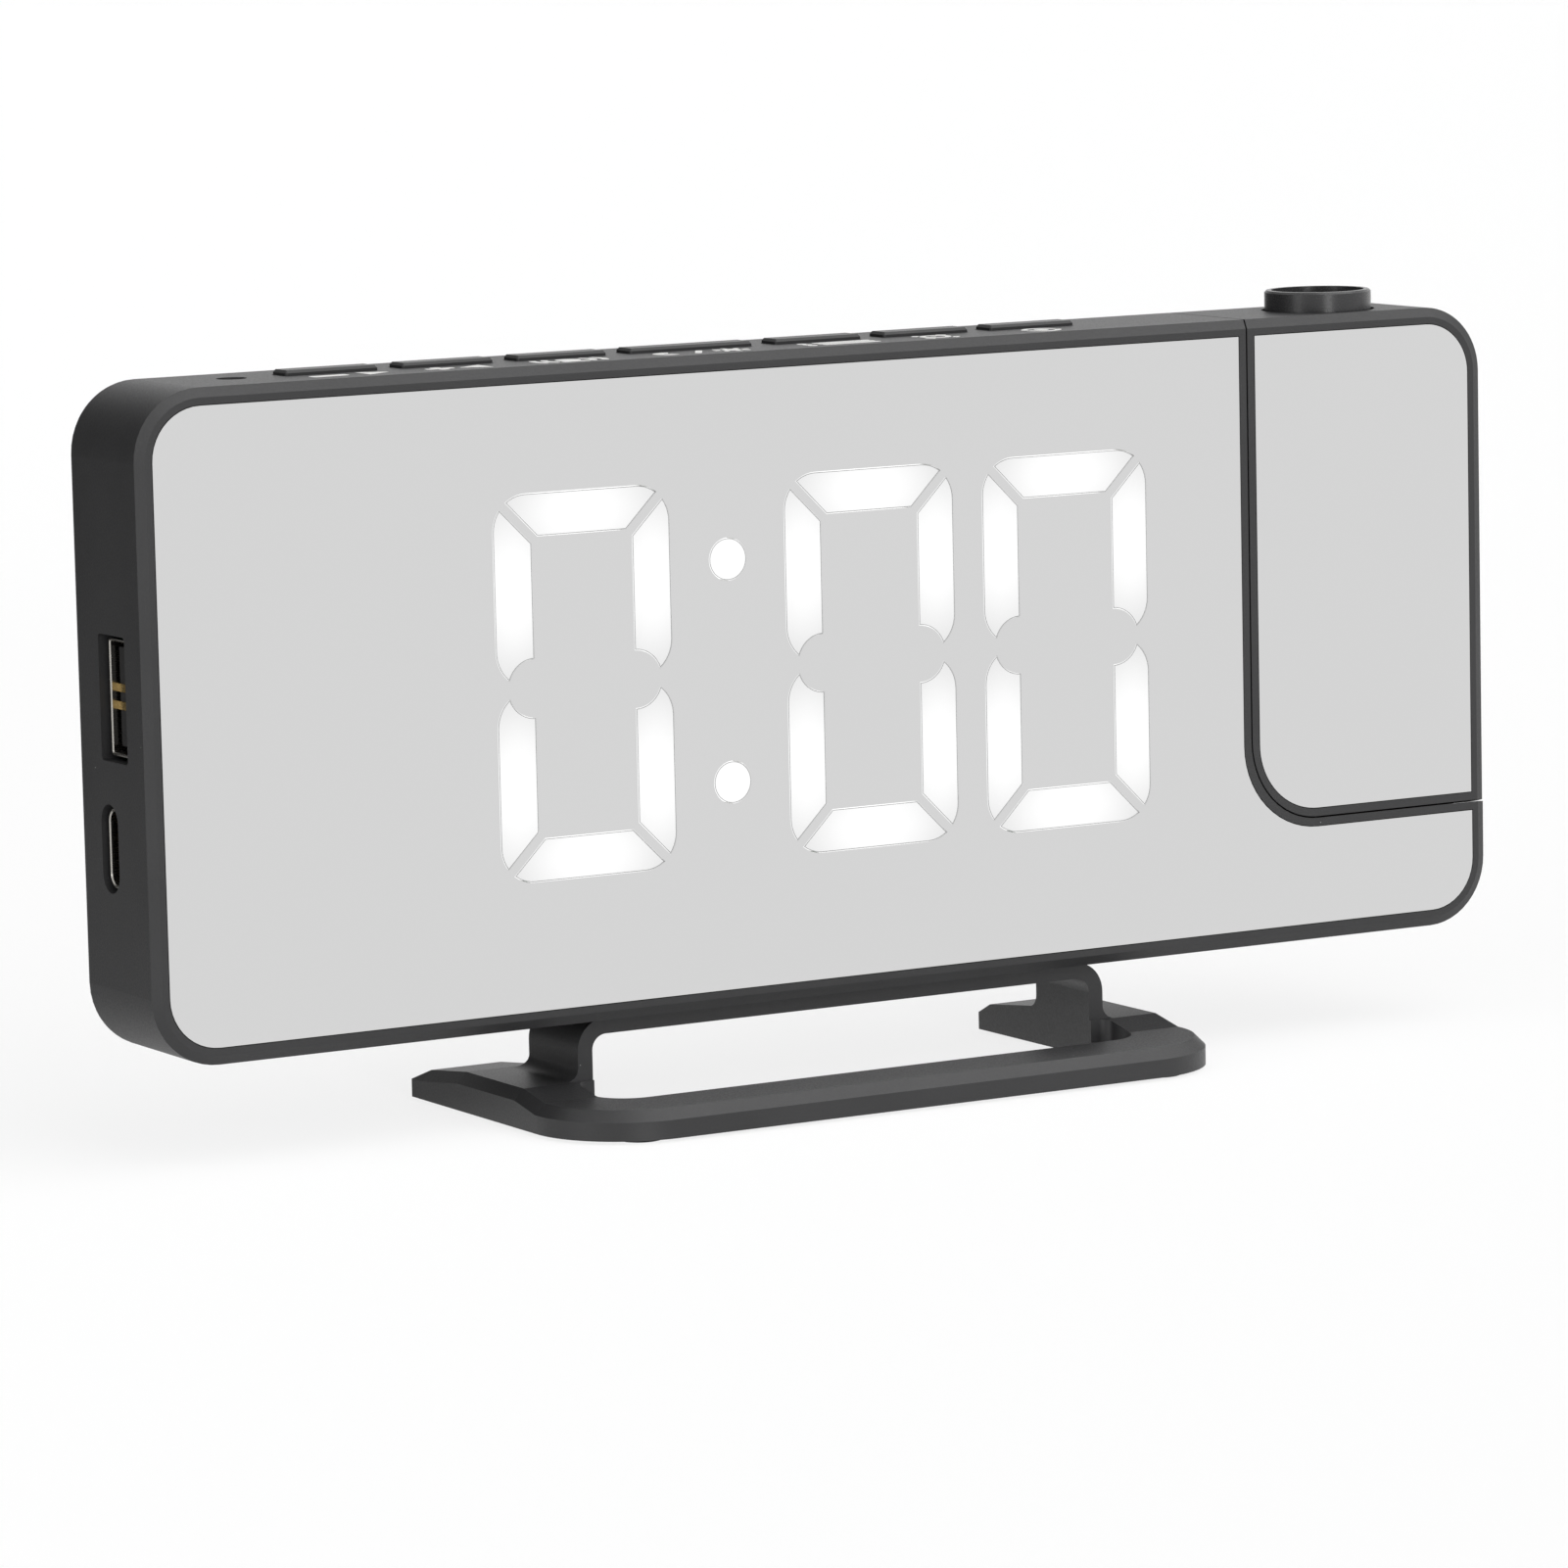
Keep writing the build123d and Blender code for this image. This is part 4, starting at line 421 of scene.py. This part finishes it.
def metal(name, colour, worn, gloss, stretch, line, depth):
    """stretch squeezes the noise into lines; line and depth are their spacing and height."""
    material, tree, place = start(name)
    lines = add(tree, "ShaderNodeMapping", {"Vector": place, "Scale": stretch})
    marks = add(tree, "ShaderNodeTexNoise", {"Vector": lines.outputs[0],
                                             "Scale": 1 / (line * MM), "Detail": 2.0})
    film = add(tree, "ShaderNodeTexNoise", {"Vector": place, "Scale": 1 / (STAINS * MM),
                                            "Detail": 3.0})
    tint = add(tree, "ShaderNodeMix", {0: film.outputs[0], 6: linear(colour), 7: linear(worn)},
               data_type="RGBA")
    rough = add(tree, "ShaderNodeMapRange", {"Value": marks.outputs[0], **NOISE,
                                             "To Min": gloss[0], "To Max": gloss[1]})
    bump = add(tree, "ShaderNodeBump", {"Height": marks.outputs[0], "Distance": depth * MM})
    close(tree, {"Base Color": tint.outputs[2], "Metallic": 1.0, "Roughness": rough.outputs[0],
                 "Normal": bump.outputs[0]})
    return material


ALONG_X, EVEN, ROUND_X = (0.05, 1, 1), (1, 1, 1), (1, 0.02, 0.02)
nickel_sheet = metal("bright_nickel_sheet", "#A9A6A1", "#98958F", (0.16, 0.3), ALONG_X, 0.08,
                     0.002)
black_steel = metal("blackened_screw_steel", "#3C3C3E", "#2C2C2E", (0.3, 0.45), EVEN, 0.15, 0.003)
turned_steel = metal("turned_axle_steel", "#B7B6B2", "#A3A29E", (0.2, 0.34), ROUND_X, 0.12, 0.003)
# The loudspeaker's pressed basket is zinc plated and duller, and the contacts' gold is worn a
# little along the way that a plug slides.
zinc_basket = metal("zinc_plated_basket", "#8E9092", "#7B7D80", (0.35, 0.5), EVEN, 0.4, 0.004)
gold_contact = metal("gold_plated_contact", "#E2C27A", "#D2B068", (0.18, 0.3), (0.1, 1, 1), 0.05,
                     0.001)
print("nickel reflects", round(linear("#A9A6A1")[0], 2), "of the light")

# %% [markdown]
# ## Circuit boards and lenses
# A circuit board is green solder mask over copper tracks. The tracks lie a few hundredths of a
# millimetre proud, and show as lighter lines. A brick pattern with long, thin bricks gives lines
# that run straight and step aside, as tracks do, without an image. The lenses are moulded
# acrylic: clear, with no colour.

# %% Solder mask over tracks
# Sizes in mm. Real tracks are about half as wide; these are drawn wider so that they can show.
BRICK = 12.0
TRACK_WIDE, TRACK_LONG, TRACK_APART = 0.216, 16.8, 1.32

board_mask, tree, place = start("solder_mask_board")
laid = add(tree, "ShaderNodeMapping", {"Vector": place, "Rotation": (math.radians(90), 0, 0)})
tracks = add(tree, "ShaderNodeTexBrick",
             {"Vector": laid.outputs[0], "Scale": 1 / (BRICK * MM), "Mortar Smooth": 0.2,
              "Mortar Size": TRACK_WIDE / BRICK, "Brick Width": TRACK_LONG / BRICK,
              "Row Height": TRACK_APART / BRICK})
mask = add(tree, "ShaderNodeMix", {0: tracks.outputs["Fac"], 6: linear("#16462C"),
                                   7: linear("#2C6B42")}, data_type="RGBA")
proud = add(tree, "ShaderNodeBump", {"Height": tracks.outputs["Fac"], "Distance": 0.03 * MM})
close(tree, {"Base Color": mask.outputs[2], "Roughness": 0.32, "IOR": 1.5,
             "Normal": proud.outputs[0]})
print("tracks apart in mm", TRACK_APART)

# %% Clear acrylic
FLOW = 4.0

lens_acrylic, tree, place = start("clear_lens_acrylic")
flow = add(tree, "ShaderNodeTexNoise", {"Vector": place, "Scale": 1 / (FLOW * MM), "Detail": 1.0})
polish = add(tree, "ShaderNodeMapRange", {"Value": flow.outputs[0], "To Min": 0.0,
                                          "To Max": 0.03})
close(tree, {"Base Color": linear("#F4F7F8"), "Roughness": polish.outputs[0], "IOR": 1.49,
             "Transmission Weight": 1.0})
print("flow marks in mm", FLOW)

# %% [markdown]
# ## Put each finish on its solids
# The CAD model names a finish for every solid, so one table from those names to the materials
# above dresses the whole clock. The mesh itself isn't touched.

# %% Dress the solids
finishes = {
    "black_plastic": case_abs, "stand_plastic": stand_abs, "knob_plastic": knob_abs,
    "key_plastic": key_abs, "inner_black_plastic": inner_pbt, "white_plastic": white_abs,
    "washer_plastic": acetal, "mirror_acrylic": mirror_film, "lit_diffuser": lit_acrylic,
    "unlit_diffuser": dark_acrylic, "circuit_board": board_mask, "lead_insulation": lead_pvc,
    "plated_steel": nickel_sheet, "screw_steel": black_steel, "axle_steel": turned_steel,
    "speaker_metal": zinc_basket, "rubber": foot_rubber, "smoked_window": smoked_pc,
    "clear_lens": lens_acrylic,
}
for part in frame["record"]["subparts"]:
    for slot in solids[part["node"]].material_slots:
        slot.material = finishes[part["material_slot"]]

# %% [markdown]
# ## Printed marks in front of the keys
# Each key has a white mark pad-printed on the top face in front of it. The ink is a film a few
# hundredths of a millimetre thick. It could be a decal image, but flat shapes that are made a
# little thick stay sharp at any distance and keep their place on the model. The marks are plain
# signs: less, more, a bell, a moon and a sun, a list, a clock and a beam.

# %% Ink, and a helper that ends a piece
INK = 0.03
WELD = 0.0005

ink = moulded("white_pad_print", "#F2F2F0", "#E6E6E3", (0.42, 0.55), 0.12, 0.002)


def finish_piece(bm, name, material, body):
    """Turns a bmesh into a piece of the clock that rides on body."""
    bmesh.ops.remove_doubles(bm, verts=bm.verts, dist=WELD * MM)
    bmesh.ops.recalc_face_normals(bm, faces=bm.faces)
    mesh = bpy.data.meshes.new(name)
    bm.to_mesh(mesh)
    bm.free()
    mesh.materials.append(material)
    piece = bpy.data.objects.new(name, mesh)
    bpy.context.scene.collection.objects.link(piece)
    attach(piece, body)
    print(name, "faces", len(mesh.polygons))


def move_new(bm, made, by):
    """Moves the corners that an extrusion made, by mm."""
    corners = [v for v in made["geom"] if isinstance(v, bmesh.types.BMVert)]
    bmesh.ops.translate(bm, verts=corners, vec=Vector(by) * MM)


print("ink film in mm", INK)

# %% Flat shapes that the marks are made of
STEP = 12


def stroke(length, width):
    """A flat bar with rounded corners."""
    flat = bmesh.new()
    bmesh.ops.create_grid(flat, x_segments=1, y_segments=1, size=0.5 * MM)
    bmesh.ops.scale(flat, verts=flat.verts, vec=(length, width, 1))
    bmesh.ops.bevel(flat, geom=flat.verts[:], affect="VERTICES", offset=width * 0.3 * MM,
                    segments=3, profile=0.5, material=-1)
    return flat


def spot(radius, sides=24):
    """A flat disc, or with few sides a triangle."""
    flat = bmesh.new()
    bmesh.ops.create_circle(flat, cap_ends=True, radius=radius * MM, segments=sides)
    return flat


def hoop(radius, width, sweep=360.0):
    """A flat ring, or part of one, swept from a short edge."""
    flat = bmesh.new()
    ends = [flat.verts.new(((radius + side * width / 2) * MM, 0, 0)) for side in (-1, 1)]
    bmesh.ops.spin(flat, geom=[*ends, flat.edges.new(ends)], cent=(0, 0, 0), axis=(0, 0, 1),
                   dvec=(0, 0, 0), angle=math.radians(sweep), steps=max(6, round(sweep / STEP)),
                   use_merge=sweep == 360)
    return flat


print("a round shape turns in degrees by", STEP)

# %% One sign
# Place and size in mm: the top face, the row in front of the keys, and how much all signs grow.
TOP_Z = 87.4
MARK_Y = -2.1
MARK_SIZE = 1.35


def mark(name, x, shapes):
    """Draws a sign round x. Each shape has its sizes, its place in mm and its turn in degrees."""
    bm = bmesh.new()
    for shape, sizes, across, along, turn in shapes:
        flat = shape(*sizes)
        bmesh.ops.rotate(flat, verts=flat.verts, cent=(0, 0, 0),
                         matrix=Matrix.Rotation(math.radians(turn), 3, "Z"))
        bmesh.ops.translate(flat, verts=flat.verts, vec=(across * MM, along * MM, 0))
        bmesh.ops.scale(flat, verts=flat.verts, vec=(MARK_SIZE, MARK_SIZE, 1))
        film = bmesh.ops.extrude_face_region(flat, geom=flat.faces[:])
        move_new(flat, film, (0, 0, INK))
        spare = bpy.data.meshes.new("spare")
        flat.to_mesh(spare)
        flat.free()
        bm.from_mesh(spare)
        bpy.data.meshes.remove(spare)
    bmesh.ops.translate(bm, verts=bm.verts, vec=Vector((x, MARK_Y, TOP_Z)) * MM)
    finish_piece(bm, name, ink, "clock_body")


print("signs grow by", MARK_SIZE)

# %% Less and more
mark("mark_down", -61.1, [(stroke, (3.4, 1.2), -2.1, 0, 0), (spot, (1.6, 3), 1.9, 0.2, -90)])
mark("mark_up", -47.6, [(stroke, (2.6, 0.85), -1.8, 0, 0), (stroke, (0.85, 0.8), -1.8, 0.85, 0),
                        (stroke, (0.85, 0.8), -1.8, -0.85, 0), (spot, (1.6, 3), 1.6, -0.2, 90)])

# %% A bell, a moon and a sun
bell = [(spot, (1.1,), 0, 0.2, 0), (stroke, (2.6, 0.6), 0, -1.25, 0)]
sounds = [(hoop, (radius, 0.6, sweep), 0, 0, towards - sweep / 2)
          for radius, sweep in ((2.1, 76), (3.1, 52)) for towards in (0, 180)]
mark("mark_alarm", -33.5, bell + sounds)

SUN_X, RAY_AT, RAYS = 3.0, 1.35, 8
sunbeams = [(stroke, (0.7, 0.45), SUN_X + RAY_AT * math.cos(a), RAY_AT * math.sin(a),
             math.degrees(a)) for a in (i * math.tau / RAYS for i in range(RAYS))]
mark("mark_snooze", -16.3, [(hoop, (0.85, 0.9, 230), -3.2, 0, 60),
                            (stroke, (2.8, 0.6), -0.2, 0, 60),
                            (spot, (0.8,), SUN_X, 0, 0), *sunbeams])

# %% A list, a clock and a beam
ROWS = (-0.95, 0, 0.95)
lines = [(stroke, (5.6, 0.6), 0.9, y, 0) for y in ROWS]
mark("mark_mode", 1.9, lines + [(spot, (0.42,), -3.0, y, 0) for y in ROWS])
feet_and_bells = [(stroke, (0.9, 0.55), side * 1.3, y, side * turn)
                  for side in (-1, 1) for y, turn in ((1.25, -45), (-1.35, 45))]
mark("mark_sound", 15.2, [(hoop, (1.15, 0.5), 0, 0, 0), (stroke, (0.35, 0.75), 0, 0.3, 0),
                          *feet_and_bells])
mark("mark_project", 29.8, [(spot, (0.66,), 0, 0, 0), (hoop, (1.5, 0.55, 156), 0, 0, 12),
                            (hoop, (1.5, 0.55, 156), 0, 0, 192)])

# %% [markdown]
# ## Contacts in the sockets
# A socket's tongue carries strips of gold-plated bronze. In the large socket there are four, and
# the middle two are folded over the tongue's end; in the small one twelve lie in each face. Each
# strip is an outline of a few corners, made a face and extruded to the strip's width.

# %% Four contacts in the large socket
# Each contact's offset up the tongue, and how far behind the tongue's end it starts. One that
# starts before the end is folded over it.
CONTACTS_A = ((-3.5, 0.8), (-1.0, -0.2), (1.0, -0.2), (3.5, 0.8))
END_A, THICK_A, WIDE_A, FOLD_STOP = 9.5, 0.2, 0.9, 0.1


def strip(bm, corners, middle_z, width):
    """Extrudes an outline of x, y corners to a width about middle_z, all in mm."""
    verts = [bm.verts.new((x * MM, y * MM, (middle_z - width / 2) * MM)) for x, y in corners]
    risen = bmesh.ops.extrude_face_region(bm, geom=[bm.faces.new(verts)])
    move_new(bm, risen, (0, 0, width))


low, high = (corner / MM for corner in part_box("usb_a_tongue"))
bm = bmesh.new()
for off, front in CONTACTS_A:
    corners = [(low.x + front, low.y - THICK_A), (low.x + END_A, low.y - THICK_A),
               (low.x + END_A, low.y)]
    if front < 0:
        corners += [(low.x, low.y), (low.x, high.y - FOLD_STOP),
                    (low.x + front, high.y - FOLD_STOP)]
    else:
        corners += [(low.x + front, low.y)]
    strip(bm, corners, (low.z + high.z) / 2 + off, WIDE_A)
finish_piece(bm, "usb_a_contacts", gold_contact, "clock_body")

# %% Twenty-four contacts in the small socket
ROW_C, PITCH_C = 12, 0.5
START_C, END_C, THICK_C, WIDE_C = 0.5, 4.5, 0.04, 0.28

low, high = (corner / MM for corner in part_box("usb_c_tongue"))
bm = bmesh.new()
for side, out in ((low.y, -THICK_C), (high.y, THICK_C)):
    corners = [(low.x + START_C, side), (low.x + START_C, side + out),
               (low.x + END_C, side + out), (low.x + END_C, side)]
    for i in range(ROW_C):
        off = (i - (ROW_C - 1) / 2) * PITCH_C
        strip(bm, corners, (low.z + high.z) / 2 + off, WIDE_C)
finish_piece(bm, "usb_c_contacts", gold_contact, "clock_body")

# %% [markdown]
# ## Painted shade round each window
# The film is cut away in front of each lit segment, and the narrow gap at the cut lies in shade.
# That shade is painted as a fine grey line on the segment's border. The segments' own front faces
# give its shape: they are copied, joined into one face for each segment, and inset, and only the
# inset's rim is kept and made a little thick.

# %% A rim round every lit segment
RIM_WIDE = 0.08
RIM_PROUD = 0.01
FRONT_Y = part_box("lit_segments")[0].y
# A front face looks forward to within this cosine and lies within this many mm of the front.
FORWARD, CLOSE_TO = 0.99, 0.01

bm = bmesh.new()
bm.from_mesh(solids["lit_segments"].data)
bmesh.ops.remove_doubles(bm, verts=bm.verts, dist=2 * WELD * MM)
others = [f for f in bm.faces if f.normal.y > -FORWARD
          or abs(f.calc_center_median().y - FRONT_Y) > CLOSE_TO * MM]
bmesh.ops.delete(bm, geom=others, context="FACES")
bmesh.ops.dissolve_limit(bm, angle_limit=math.radians(0.5), verts=bm.verts[:],
                         edges=bm.edges[:])
print("windows", len(bm.faces))
rims = bmesh.ops.inset_region(bm, faces=bm.faces[:], thickness=RIM_WIDE * MM,
                              use_even_offset=True, use_boundary=True)["faces"]
bmesh.ops.delete(bm, geom=[f for f in bm.faces if f not in set(rims)], context="FACES")
raised = bmesh.ops.extrude_face_region(bm, geom=bm.faces[:])
move_new(bm, raised, (0, -RIM_PROUD, 0))
# The grey is painted shade: it stands in for the shade in the gap round each window.
gap_shade_finish = moulded("painted_gap_shade_line", "#A4A4A4", "#989898", (0.4, 0.5), 0.3, 0.001)
finish_piece(bm, "painted_shade_rims", gap_shade_finish, "clock_body")
